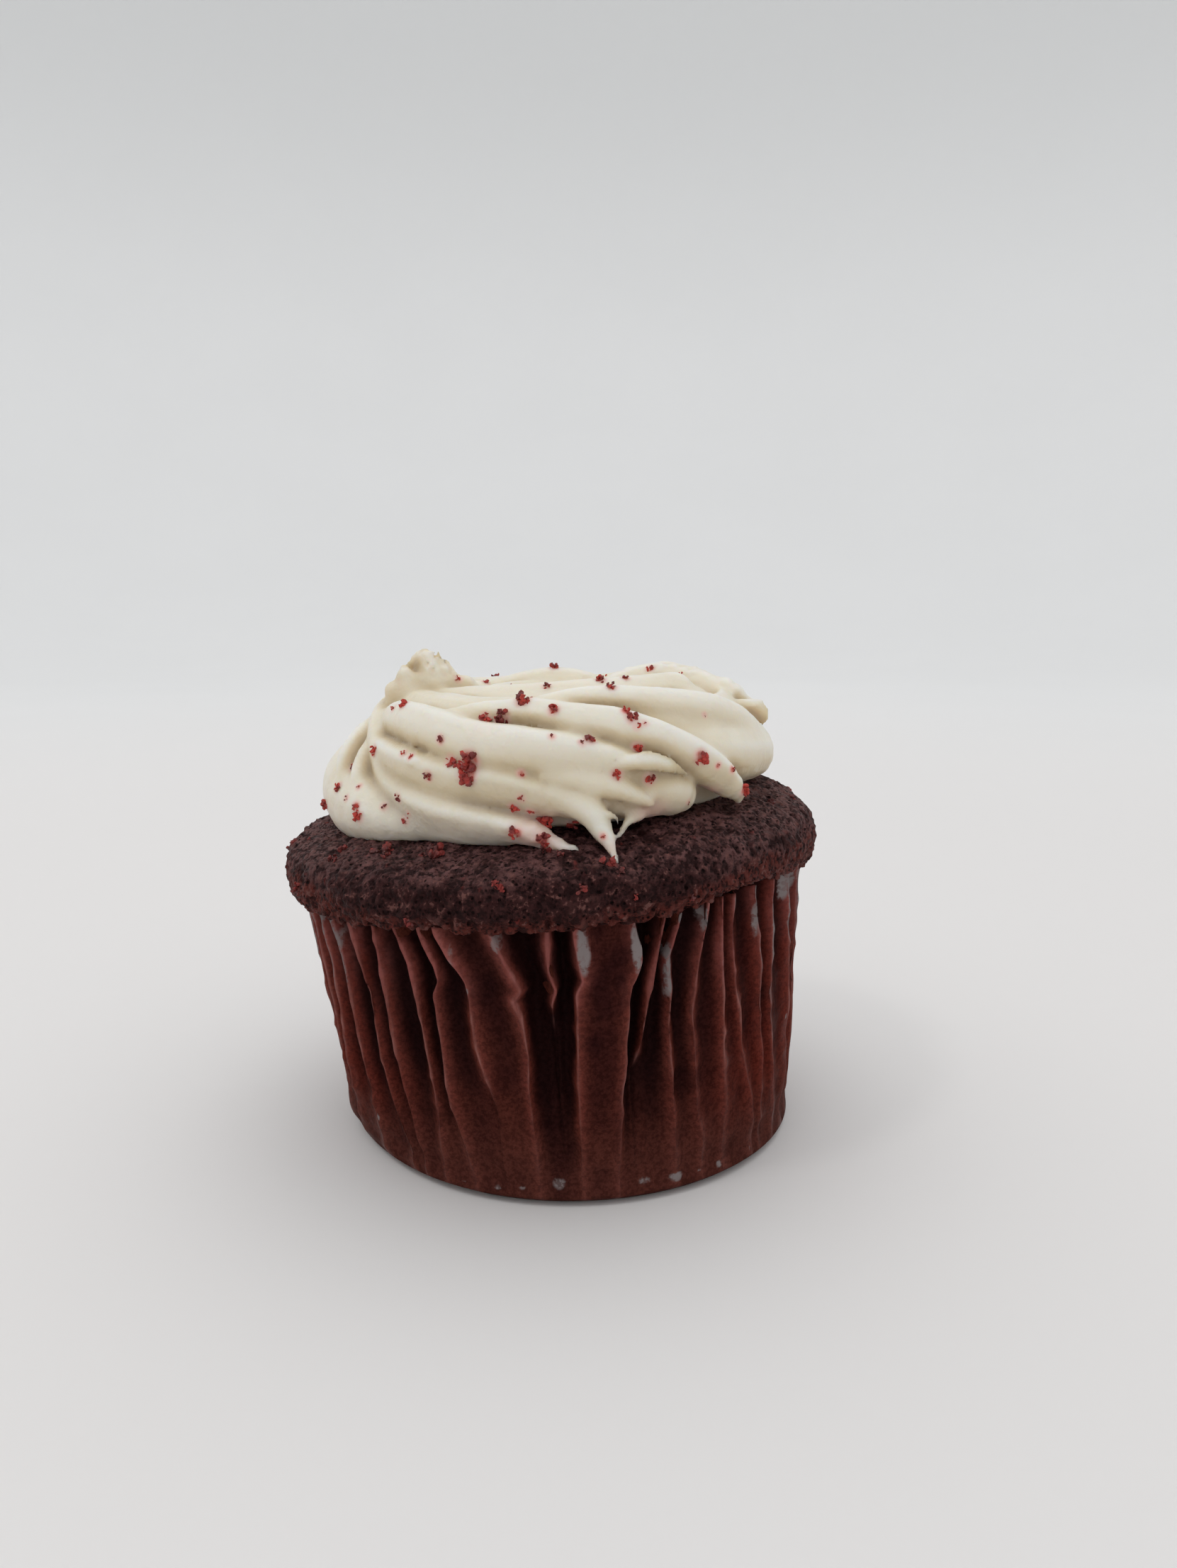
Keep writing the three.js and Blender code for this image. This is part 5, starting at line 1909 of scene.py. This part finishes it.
    def add_rope(self, volume: Array, axes: Sequence[Array], rope: Union[Strand, "Rope"]) -> None:
        """Joins a rope or strand to the volume.

        Args:
            volume: distances to what is there already; it is changed.
            axes: the lattice's coordinates.
            rope: what is joined.
        """
        route = rope.route(self.form)
        own = np.full(volume.shape, self.far)
        for start in range(0, len(route.middle), route.stretch):
            window = route.window(axes, start, rope.crest, rope.blend + 1.2)
            mesh = np.meshgrid(*(axis[part] for axis, part in zip(axes, window)), indexing="ij")
            points = np.stack(mesh, axis=-1).reshape(-1, 3)
            if len(points):
                distance = route.distances(points, start, rope.crest, rope.furrow)
                block = own[window]
                np.minimum(block, distance.reshape(block.shape), out=block)
        self.merge(volume, own, rope.blend)

    @staticmethod
    def merge(volume: Array, own: Array, blend: float) -> None:
        """Joins distances to a volume, with a fillet where the two meet."""
        near = np.maximum(blend - np.abs(volume - own), 0.0) / blend
        np.minimum(volume, own, out=volume)
        volume -= near * near * blend * 0.25

    def add_spike(self, volume: Array, places: Array, spike: Knot) -> None:
        """Joins a tapered spike of the torn peak to the volume.

        Args:
            volume: distances to what is there already; it is changed.
            places: the points of the lattice.
            spike: its foot, its tip and both radii.
        """
        foot, tip = np.array(spike[:3]), np.array(spike[3:6])
        wide, narrow = spike[6:]
        axis = tip - foot
        share = np.clip((places - foot) @ axis / (axis @ axis), 0.0, 1.0)
        away = np.linalg.norm(places - foot - share[..., None] * axis, axis=-1)
        self.merge(volume, (away - wide - (narrow - wide) * share ** 0.8) * 0.85, 0.5)

    def back_strands(self) -> List[Strand]:
        """The strands of the unseen side, by the rule that the front ones show.

        Returns:
            The strands, by their azimuth.
        """
        strands = []
        for k in range(self.back_count):
            end = 112 + 21 * k + 3 * jitter(k, 5)
            top = 52.2 + 0.4 * jitter(k, 6)
            foot = 38.2 + 0.5 * jitter(k, 7)
            knots = []
            first = max(0.0, 1 - (end - self.back_start) / self.back_sweep)
            for share in np.linspace(first, 1, 8):
                azimuth = end - self.back_sweep * (1 - share)
                height = top - (top - foot) * share ** 2.6
                for place, width, depth in self.back_dips:
                    height -= depth * math.exp(-((azimuth - place) / width) ** 2)
                swell = math.sin(math.pi * min(share * 1.15, 1.0)) ** 0.5
                knots.append((azimuth, height, 0.1, 1.5 + 1.1 * swell, 1.7 + 0.8 * swell))
            strands.append(Strand(tuple(knots), tilt=8, crest=0.12, blend=0.5))
        return strands

    def core(self, places: Array) -> Array:
        """Distances to the plain heart of the swirl.

        Args:
            places: the points of the lattice.

        Returns:
            One distance for each.
        """
        height = places[..., 2]
        reach = np.hypot(places[..., 0] - self.form.centre_x, places[..., 1])
        inset = self.form.core_inset + 0.35 * np.maximum(43.0 - height, 0.0)
        wall = (reach - self.form.radius_at(height) + inset) * 0.8
        return np.maximum(wall, (height - self.form.core_top + self.top_furrow(places)) * 0.85)

    def top_furrow(self, places: Array) -> Array:
        """How deep the furrows lie that wind in to the middle of the top.

        Args:
            places: the points of the lattice.

        Returns:
            One depth for each.
        """
        across = places[..., 0] - self.form.centre_x
        reach = np.hypot(across, places[..., 1])
        turn = np.arctan2(across, -places[..., 1]) / (2 * math.pi)
        winding = reach / self.top_pitch + self.top_turns * turn
        crest = np.abs(np.sin(math.pi * winding)) ** 0.7
        depth = self.top_depth * smoothstep(reach, 0.6, 3.5) * smoothstep(reach, 20.0, 16.0)
        return depth * (1.0 - crest)

    def sculpt(self) -> Tuple[Array, Array]:
        """Builds the volume of the whole swirl.

        Returns:
            The distances on the lattice, and its first point.
        """
        axes = self.lattice()
        places = np.stack(np.meshgrid(*axes, indexing="ij"), axis=-1)
        volume = np.minimum(self.core(places), self.far)
        for strand in [*self.back_strands(), *self.strands]:
            self.add_rope(volume, axes, strand)
        for spike in self.spikes:
            self.add_spike(volume, places, spike)
        for rope in self.ropes:
            self.add_rope(volume, axes, rope)
        self.tear(volume, places)
        floor = self.cake.top_at(places[..., 0, 0], places[..., 0, 1]) - self.sunk
        np.maximum(volume, floor[..., None] - places[..., 2], out=volume)
        return volume, np.array([axis[0] for axis in axes])

    def tear(self, volume: Array, places: Array) -> None:
        """Roughens the torn places and the peak, and gives the rest a faint unevenness.

        Args:
            volume: the distances; it is changed.
            places: the points of the lattice.
        """
        noise = Noise(41)
        close = np.abs(volume) < 1.2
        near = places[close]
        change = 0.10 * noise.at(near, 4.5) + 0.035 * noise.at(near, 1.6)
        for patch in self.ragged:
            away = np.linalg.norm(near - np.array(patch.centre), axis=1)
            amount = smoothstep(away, patch.reach, patch.reach * 0.35)
            change += amount * patch.depth * noise.at(near, patch.grain)
        away = np.linalg.norm((near - np.array(self.peak)) / self.peak_reach, axis=1)
        flakes = 0.34 * noise.at(near, (1.1, 1.1, 3.0)) + 0.42 * noise.at(near, (0.5, 0.5, 0.7))
        change += smoothstep(away, 1.0, 0.3) * flakes
        volume[close] += change

    def closed_in(self, volume: Array, origin: Array, points: Array, edges: Array) -> Array:
        """How far the icing closes in round each point, from 0 in the open to about 1.

        Args:
            volume: distances on the lattice.
            origin: the lattice's first point.
            points: corners of the skin.
            edges: pairs of corners.

        Returns:
            One number for each point.
        """
        smooth = neighbour_mean(points, edges, 3)
        slopes = np.stack(np.gradient(volume, self.step), axis=-1)
        last = np.array(volume.shape) - 1
        nearest = np.clip(np.rint((smooth - origin) / self.step).astype(int), 0, last)
        normal = unit(neighbour_mean(slopes[tuple(nearest.T)], edges, 3))
        total = np.zeros(len(points))
        for reach in self.probes:
            there = np.rint((smooth + normal * reach - origin) / self.step).astype(int)
            there = np.clip(there, 0, last)
            total += 1.0 - volume[tuple(there.T)] / reach
        return neighbour_mean(total, edges, 3) / 3.0

    @staticmethod
    def hollows(points: Array, quads: Array, closed: Array) -> Tuple[Array, Array]:
        """Where the skin is hollow or looks down, which the finish paints as shade, and where it
        stands proud and faces up, which it paints as light.

        Args:
            points: corners of the skin.
            quads: its faces.
            closed: how far the icing closes in round each point.

        Returns:
            How hollow and how proud each point is, from 0 to 1.
        """
        edges = edges_of(quads)
        smooth = neighbour_mean(points, edges, 90)
        normal = neighbour_mean(corner_normals(points, quads), edges, 5)
        lifted = np.sum((smooth - points) * unit(normal), axis=1)
        hollow = 0.6 * smoothstep(lifted, -0.25, 0.8) + 0.7 * smoothstep(closed, 0.03, 0.5)
        # the finish paints shade where the skin looks down
        hollow += 0.55 * smoothstep(-normal[:, 2], -0.75, 0.6)
        proud = smoothstep(lifted, -0.1, -0.7) * smoothstep(normal[:, 2], -0.3, 0.3)
        return neighbour_mean(np.minimum(hollow, 1.0), edges, 4), proud

    def stains(self, points: Array, crumbs: Array) -> Tuple[Array, Array]:
        """Where crumbs have stained the icing, and where it is smeared pink.

        Args:
            points: corners of the skin.
            crumbs: x, y, z and radius of each crumb.

        Returns:
            How stained and how smeared each point is, from 0 to 1.
        """
        stain, smear = np.zeros(len(points)), np.zeros(len(points))
        for x, y, z, radius in crumbs:
            away = np.linalg.norm(points - (x, y, z), axis=1)
            halo = np.maximum(away - 0.45 * radius, 0.0) / (0.35 + 0.4 * radius)
            stain = np.maximum(stain, np.exp(-halo ** 2))
        for x, y, z, reach, strength in self.smears:
            away = np.linalg.norm(points - (x, y, z), axis=1)
            smear = np.maximum(smear, strength * smoothstep(away, reach, reach * 0.3))
        return stain, smear

    def build(self, finish: Material, crumbs: "Crumbs") -> bpy.types.Object:
        """Makes the icing.

        Args:
            finish: its material.
            crumbs: the crumbs, which lie on it and stain it.

        Returns:
            The finished piece.
        """
        volume, origin = self.sculpt()
        skin = largest_part(surface_net(volume, origin, self.step))
        edges = edges_of(skin.faces)
        points = skin.points
        for weight in (0.5, -0.42, 0.5):
            points = points + weight * (neighbour_mean(points, edges) - points)
        faces = [tuple(quad) for quad in skin.faces.tolist()]
        tree = BVHTree.FromPolygons(points.tolist(), faces)
        landed = crumbs.land_on_icing(tree, self.form)
        closed = self.closed_in(volume, origin, points, edges)
        hollow, proud = self.hollows(points, skin.faces, closed)
        stain, smear = self.stains(points, landed)
        values = {"hollow": hollow, "proud": proud, "stain": stain, "smear": smear}
        piece = Shell(points, faces, values).make("piped_icing", finish)
        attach(piece, BODY)
        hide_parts("icing")
        return piece


# ---- Crumbs ----

class Ground(Enum):
    """What crumbs lie on."""

    ICING = "icing"
    CAKE = "cake"


@dataclass
class Crumbs:
    """Loose cake crumbs on the icing and on the cake's shoulder."""

    # azimuth, height and radius of the crumbs on the icing in front
    on_icing: Knots = (
        (-22, 44.2, 1.1), (-21.5, 45.6, 0.95), (-23, 45, 0.7), (-11, 51.3, 0.85),
        (-10, 51.9, 0.45), (-16, 49.6, 0.75), (-17, 49.2, 0.4), (-21, 49.4, 0.55),
        (-2, 50.4, 0.48), (17, 50.3, 0.42), (18, 49.6, 0.55), (19, 48.9, 0.3), (21, 49.1, 0.25),
        (7, 47.7, 0.5), (5, 47.5, 0.2), (19, 46.8, 0.45), (35, 45.6, 0.75), (40, 44.5, 0.2),
        (45, 43.9, 0.28), (51, 41.4, 0.65), (-57, 45.2, 0.55), (-42, 45.6, 0.32), (-39, 45.4, 0.3),
        (-27, 45.3, 0.6), (-33, 43.7, 0.45), (-30, 47.4, 0.38), (-9, 44.5, 0.3), (13, 44.3, 0.5),
        (21, 43.7, 0.55), (-65, 43, 0.5), (-65, 41, 0.42), (-72, 38.4, 0.55), (-55, 38.4, 0.6),
        (-58, 41.4, 0.2), (-60, 40.1, 0.25), (-56, 39.4, 0.42), (-49, 39.7, 0.33), (-43, 41, 0.38),
        (-42, 38.6, 0.38), (-40, 39.5, 0.15), (-11, 41, 0.45), (-9, 42, 0.33), (-7, 40.6, 0.3),
        (-10, 38.7, 0.6), (-4, 39.5, 0.85), (-4, 38.1, 0.7), (3, 39, 0.65), (4, 38, 0.55),
        (9, 38.6, 0.25), (32, 41, 0.2), (-55, 49.7, 0.32), (-50, 50.3, 0.5), (-38, 52.3, 0.4),
        (-25, 52.6, 0.6), (-21, 52.6, 0.35), (-15, 52.6, 0.5), (9, 53.6, 0.3), (9, 52.6, 0.6),
        (16, 52.5, 0.48), (39, 52.6, 0.35), (-2, 48.1, 0.2), (45, 49.2, 0.15),
    )
    # azimuth, upright height and radius of those on the cake
    on_cake: Knots = (
        (-27, 37.3, 1), (-25, 36.9, 0.8), (-28.5, 37, 0.6), (-40, 37.2, 0.9), (-43, 37, 0.7),
        (-38, 36.9, 0.5), (-54, 37, 0.5), (-52, 36.2, 0.5), (-80, 35.5, 0.5), (-76, 36.3, 0.4),
        (-86, 34.2, 0.4), (-62, 32.3, 0.55), (-60, 31.9, 0.4), (-26, 31.4, 0.45), (-8, 35.2, 0.45),
        (-7, 34.9, 0.35), (7, 34.6, 0.5), (17, 33, 0.35), (28, 32, 0.45), (13, 36, 0.8),
        (14.5, 35.5, 0.5), (-8, 37.4, 0.6), (1, 37.2, 0.6), (4, 37, 0.5), (80, 36.6, 0.5),
        (66, 37.2, 0.4), (-120, 34, 0.8), (-150, 35.5, 0.7), (170, 34.5, 0.9), (140, 35.8, 0.7),
        (118, 34.2, 0.8), (100, 35.6, 0.7),
    )
    scattered: int = 34         # behind, and half as many on top
    back_from: float = 98.0     # azimuth where those behind begin
    back_span: float = 164.0
    top_reach: float = 17.0
    start_out: float = 45.0     # how far out a crumb's way to the surface starts
    lobes: int = 11
    unevenness: float = 0.75
    wavelength: float = 0.42
    seed: int = 4
    spots: Dict[Ground, List[Tuple[Array, Array, float]]] = field(
        default_factory=lambda: {ground: [] for ground in Ground})

    def land_on_icing(self, tree: BVHTree, form: SwirlForm) -> Array:
        """Lets the crumbs land on the icing.

        Args:
            tree: the icing's surface, in millimetres.
            form: the swirl, for its middle.

        Returns:
            x, y, z and radius of each crumb that landed.
        """
        wanted = list(self.on_icing)
        for k in range(self.scattered):
            azimuth = self.back_from + (GOLDEN_ANGLE * k + 14 * jitter(k, 9)) % self.back_span
            wanted.append((azimuth, jitter_between(k, 11, 38.5, 51.0),
                           jitter_between(k, 12, 0.3, 0.95)))
        landed = []
        for azimuth, height, radius in wanted:
            out = outward(np.array(azimuth))
            start = out * self.start_out + (form.centre_x, 0.0, height)
            landed += self.note(Ground.ICING, tree.ray_cast(Vector(start), Vector(-out)), radius)
        on_top = self.scattered // 2
        for k in range(on_top):
            reach = self.top_reach * math.sqrt((k + 0.5) / on_top)
            start = outward(np.array(GOLDEN_ANGLE * k)) * reach + (form.centre_x, 2.0, 90.0)
            hit = tree.ray_cast(Vector(start), Vector((0.0, 0.0, -1.0)))
            landed += self.note(Ground.ICING, hit, jitter_between(k, 13, 0.3, 0.8))
        return np.array(landed)

    def note(self, ground: Ground, hit: Tuple,
             radius: float) -> List[Tuple[float, float, float, float]]:
        """Keeps a crumb where a ray landed on `ground`.

        Args:
            ground: what the crumb lies on.
            hit: what the ray returned.
            radius: radius of the crumb.

        Returns:
            x, y, z and radius, or nothing where the ray missed.
        """
        place, normal = hit[0], hit[1]
        if place is None:
            return []
        self.spots[ground].append((np.array(place), np.array(normal), radius))
        return [(*place, radius)]

    def land_on_cake(self, cake: bpy.types.Object, form: CakeForm) -> None:
        """Lets the crumbs land on the cake's shoulder.

        Args:
            cake: the finished cake.
            form: its form.
        """
        corners = [vertex.co / MM for vertex in cake.data.vertices]
        faces = [tuple(polygon.vertices) for polygon in cake.data.polygons]
        tree = BVHTree.FromPolygons(corners, faces)
        for azimuth, height, radius in self.on_cake:
            out = outward(np.array(azimuth))
            axis = form.lean.settle(np.array([0.0, 0.0, height]))
            level = form.lean.settle(out * 28.0 + (0.0, 0.0, height))[2]
            start = np.array([axis[0], 0.0, level]) + out * self.start_out
            self.note(Ground.CAKE, tree.ray_cast(Vector(start), Vector(-out)), radius)

    def lobe_mesh(self, ground: Ground) -> bpy.types.Object:
        """The points that the lumps of the crumbs on `ground` grow from, with their sizes.

        Args:
            ground: what the crumbs lie on.

        Returns:
            An object of loose points.
        """
        places, sizes = [], []
        for k, (place, normal, radius) in enumerate(self.spots[ground]):
            count = 5 if radius < 0.35 else self.lobes
            for lobe in range(count):
                spread = radius * 0.8
                own = k * self.lobes + lobe
                shift = np.array([jitter(own, 50 + axis) for axis in range(3)]) * spread
                shift -= normal * (shift @ normal) * 0.45
                places.append(place + shift + normal * radius * 0.2)
                sizes.append(radius * jitter_between(own, 54, 0.18, 0.42))
        mesh = bpy.data.meshes.new("crumb_points")
        mesh.from_pydata((np.array(places) * MM).tolist(), [], [])
        layer = mesh.attributes.new("size", "FLOAT", "POINT")
        layer.data.foreach_set("value", np.array(sizes, dtype=np.float32) * MM)
        return place_in_scene("crumb_points", mesh)

    @staticmethod
    def tree() -> bpy.types.NodeTree:
        """The Geometry Nodes that grow an uneven lump on each point.

        Returns:
            The tree, with named inputs.
        """
        tree = bpy.data.node_groups.new("grow_crumbs", "GeometryNodeTree")
        sheet = Sheet(tree)
        for title, kind in (("Geometry", "Geometry"), ("Unevenness", "Float"),
                            ("Wavelength", "Float"), ("Seed", "Int"), ("Finish", "Material")):
            tree.interface.new_socket(title, in_out="INPUT", socket_type="NodeSocket" + kind)
        tree.interface.new_socket("Geometry", in_out="OUTPUT", socket_type="NodeSocketGeometry")
        given = sheet.add("NodeGroupInput").outputs
        result = sheet.add("NodeGroupOutput")
        size = sheet.add("GeometryNodeInputNamedAttribute", {"Name": "size"})
        lump = sheet.add("GeometryNodeMeshIcoSphere", {"Radius": 1.0, "Subdivisions": 2})
        turn = sheet.add("FunctionNodeRandomValue", {
            0: (0.0, 0.0, 0.0), 1: (6.28, 6.28, 6.28)}, data_type="FLOAT_VECTOR")
        sheet.feed(turn.inputs["Seed"], given["Seed"])
        put = sheet.add("GeometryNodeInstanceOnPoints", {
            "Points": given["Geometry"], "Instance": lump.outputs["Mesh"],
            "Rotation": turn.outputs[0], "Scale": size.outputs[0]})
        real = sheet.add("GeometryNodeRealizeInstances", {"Geometry": put.outputs[0]})
        where = sheet.add("GeometryNodeInputPosition")
        scale = sheet.add("ShaderNodeMath", {0: 1.0, 1: given["Wavelength"]}, operation="DIVIDE")
        noise = sheet.add("ShaderNodeTexNoise", {
            "Vector": where.outputs[0], "Scale": scale.outputs[0], "Detail": 1.0})
        centred = sheet.add("ShaderNodeVectorMath", {
            0: noise.outputs["Color"], 1: (0.5, 0.5, 0.5)}, operation="SUBTRACT")
        amount = sheet.add("ShaderNodeVectorMath", {0: centred.outputs[0]}, operation="SCALE")
        sheet.feed(amount.inputs["Scale"], given["Unevenness"])
        moved = sheet.add("GeometryNodeSetPosition", {
            "Geometry": real.outputs[0], "Offset": amount.outputs[0]})
        dressed = sheet.add("GeometryNodeSetMaterial", {
            "Geometry": moved.outputs[0], "Material": given["Finish"]})
        sheet.feed(result.inputs["Geometry"], dressed.outputs[0])
        return tree

    def build(self, ground: Ground, finish: Material) -> bpy.types.Object:
        """Makes the crumbs that lie on the icing or on the cake.

        Args:
            ground: what they lie on.
            finish: their material.

        Returns:
            The finished piece.
        """
        holder = self.lobe_mesh(ground)
        tree = self.tree()
        modifier = holder.modifiers.new("grow", "NODES")
        modifier.node_group = tree
        given = {item.name: item.identifier for item in tree.interface.items_tree
                 if item.in_out == "INPUT"}
        modifier[given["Unevenness"]] = self.unevenness * MM
        modifier[given["Wavelength"]] = self.wavelength * MM
        modifier[given["Seed"]] = self.seed
        modifier[given["Finish"]] = finish
        holder.data.update()
        depsgraph = bpy.context.evaluated_depsgraph_get()
        mesh = bpy.data.meshes.new_from_object(holder.evaluated_get(depsgraph))
        name = "crumbs_on_" + ground.value
        mesh.name = name
        bpy.data.objects.remove(holder)
        piece = place_in_scene(name, mesh)
        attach(piece, BODY)
        return piece


# ---- Studio ----

@dataclass(frozen=True)
class Lamp:
    """A soft box."""

    title: str
    place: Place
    size: float
    power: float
    tint: Place = (1.0, 0.99, 0.97)


@dataclass
class Studio:
    """The camera, the soft light and the pale sweep that the cupcake stands on."""

    eye: Place = (0.00215, -0.1333, 0.0617)
    pitch: float = 9.5
    focal_pixels: float = 1600.0
    image_height: float = 2212.0
    sensor: float = 36.0
    target: Place = (0.0, 0.0, 0.03)
    sky: Colour = shade(0.99, 0.99, 1.0)
    sky_strength: float = 0.82
    lamps: Tuple[Lamp, ...] = (
        Lamp("top_box", (0.0, 0.15, 0.75), 0.7, 0.62),
        Lamp("small_box", (-0.28, -0.22, 0.55), 0.09, 0.24),
    )
    flat_radius: float = 0.75
    sweep_radius: float = 0.7
    sweep_height: float = 0.9
    columns: int = 96

    def camera(self) -> None:
        """Makes the camera."""
        data = bpy.data.cameras.new("camera")
        data.lens = self.focal_pixels / self.image_height * self.sensor
        data.sensor_width = self.sensor
        data.sensor_fit = "AUTO"
        data.clip_start = 0.005
        data.clip_end = 20.0
        camera = place_in_scene("camera", data)
        camera.location = self.eye
        camera.rotation_euler = (math.radians(90.0 - self.pitch), 0.0, 0.0)
        bpy.context.scene.camera = camera

    def light(self) -> None:
        """Makes the lamps and the sky."""
        for lamp in self.lamps:
            data = bpy.data.lights.new(lamp.title, "AREA")
            data.shape = "DISK"
            data.size = lamp.size
            data.energy = lamp.power
            data.color = lamp.tint
            box = place_in_scene(lamp.title, data)
            box.location = lamp.place
            aim = Vector(self.target) - Vector(lamp.place)
            box.rotation_euler = aim.to_track_quat("-Z", "Y").to_euler()
        world = bpy.data.worlds.new("sky")
        world.use_nodes = True
        sheet = Sheet(world.node_tree)
        light = sheet.add("ShaderNodeBackground", {
            "Color": self.sky, "Strength": self.sky_strength})
        output = sheet.add("ShaderNodeOutputWorld")
        sheet.feed(output.inputs["Surface"], light.outputs[0])
        bpy.context.scene.world = world
        view = bpy.context.scene.view_settings
        view.view_transform = "Standard"
        view.look = "None"

    def sweep(self, finish: Material) -> None:
        """Makes the round floor, which curves up into a wall on all sides.

        Args:
            finish: its material.
        """
        bend = np.radians(np.linspace(0, 90, 17))
        radii = np.concatenate([
            np.linspace(0.1, self.flat_radius, 6, endpoint=False),
            self.flat_radius + self.sweep_radius * np.sin(bend),
            [self.flat_radius + self.sweep_radius]])
        heights = np.concatenate([
            np.zeros(6), self.sweep_radius * (1 - np.cos(bend)), [self.sweep_height]])
        around = outward(np.arange(self.columns) * 360.0 / self.columns)
        grid = around[None] * radii[:, None, None]
        grid[..., 2] = heights[:, None]
        points = np.vstack([[[0.0, 0.0, 0.0]], grid.reshape(-1, 3)]) / MM
        faces = wrapped_faces(len(radii), self.columns)[:-self.columns]
        floor = Shell(points, [face[::-1] for face in faces]).make("pale_sweep", finish)

    def build(self, finish: Material) -> None:
        """Sets up the whole studio."""
        self.camera()
        self.light()
        self.sweep(finish)


# ---- Assembly ----

def report(piece: bpy.types.Object) -> None:
    """Logs a piece's name and size."""
    mesh = piece.data
    mesh.calc_loop_triangles()
    log.info("%s: %d triangles", piece.name, len(mesh.loop_triangles))


def main() -> None:
    """Builds the studio and every piece, in order."""
    logging.basicConfig(level=logging.INFO, format="%(name)s: %(message)s", stream=sys.stdout)
    effects = Effects()
    Studio().build(BackdropFinish().build(effects))
    report(PaperCase().build(PaperFinish().build(effects)))
    cake = Cake().build(SpongeFinish().build(effects))
    report(cake)
    crumbs = Crumbs()
    crumbs.land_on_cake(cake, CakeForm())
    report(Icing().build(IcingFinish().build(effects), crumbs))
    report(crumbs.build(Ground.ICING, CrumbFinish().build(effects)))
    dry = CrumbFinish("dry_crumb", shade(0.085, 0.015, 0.013), shade(0.26, 0.028, 0.022))
    report(crumbs.build(Ground.CAKE, dry.build(effects)))


if __name__ == "__main__":
    main()
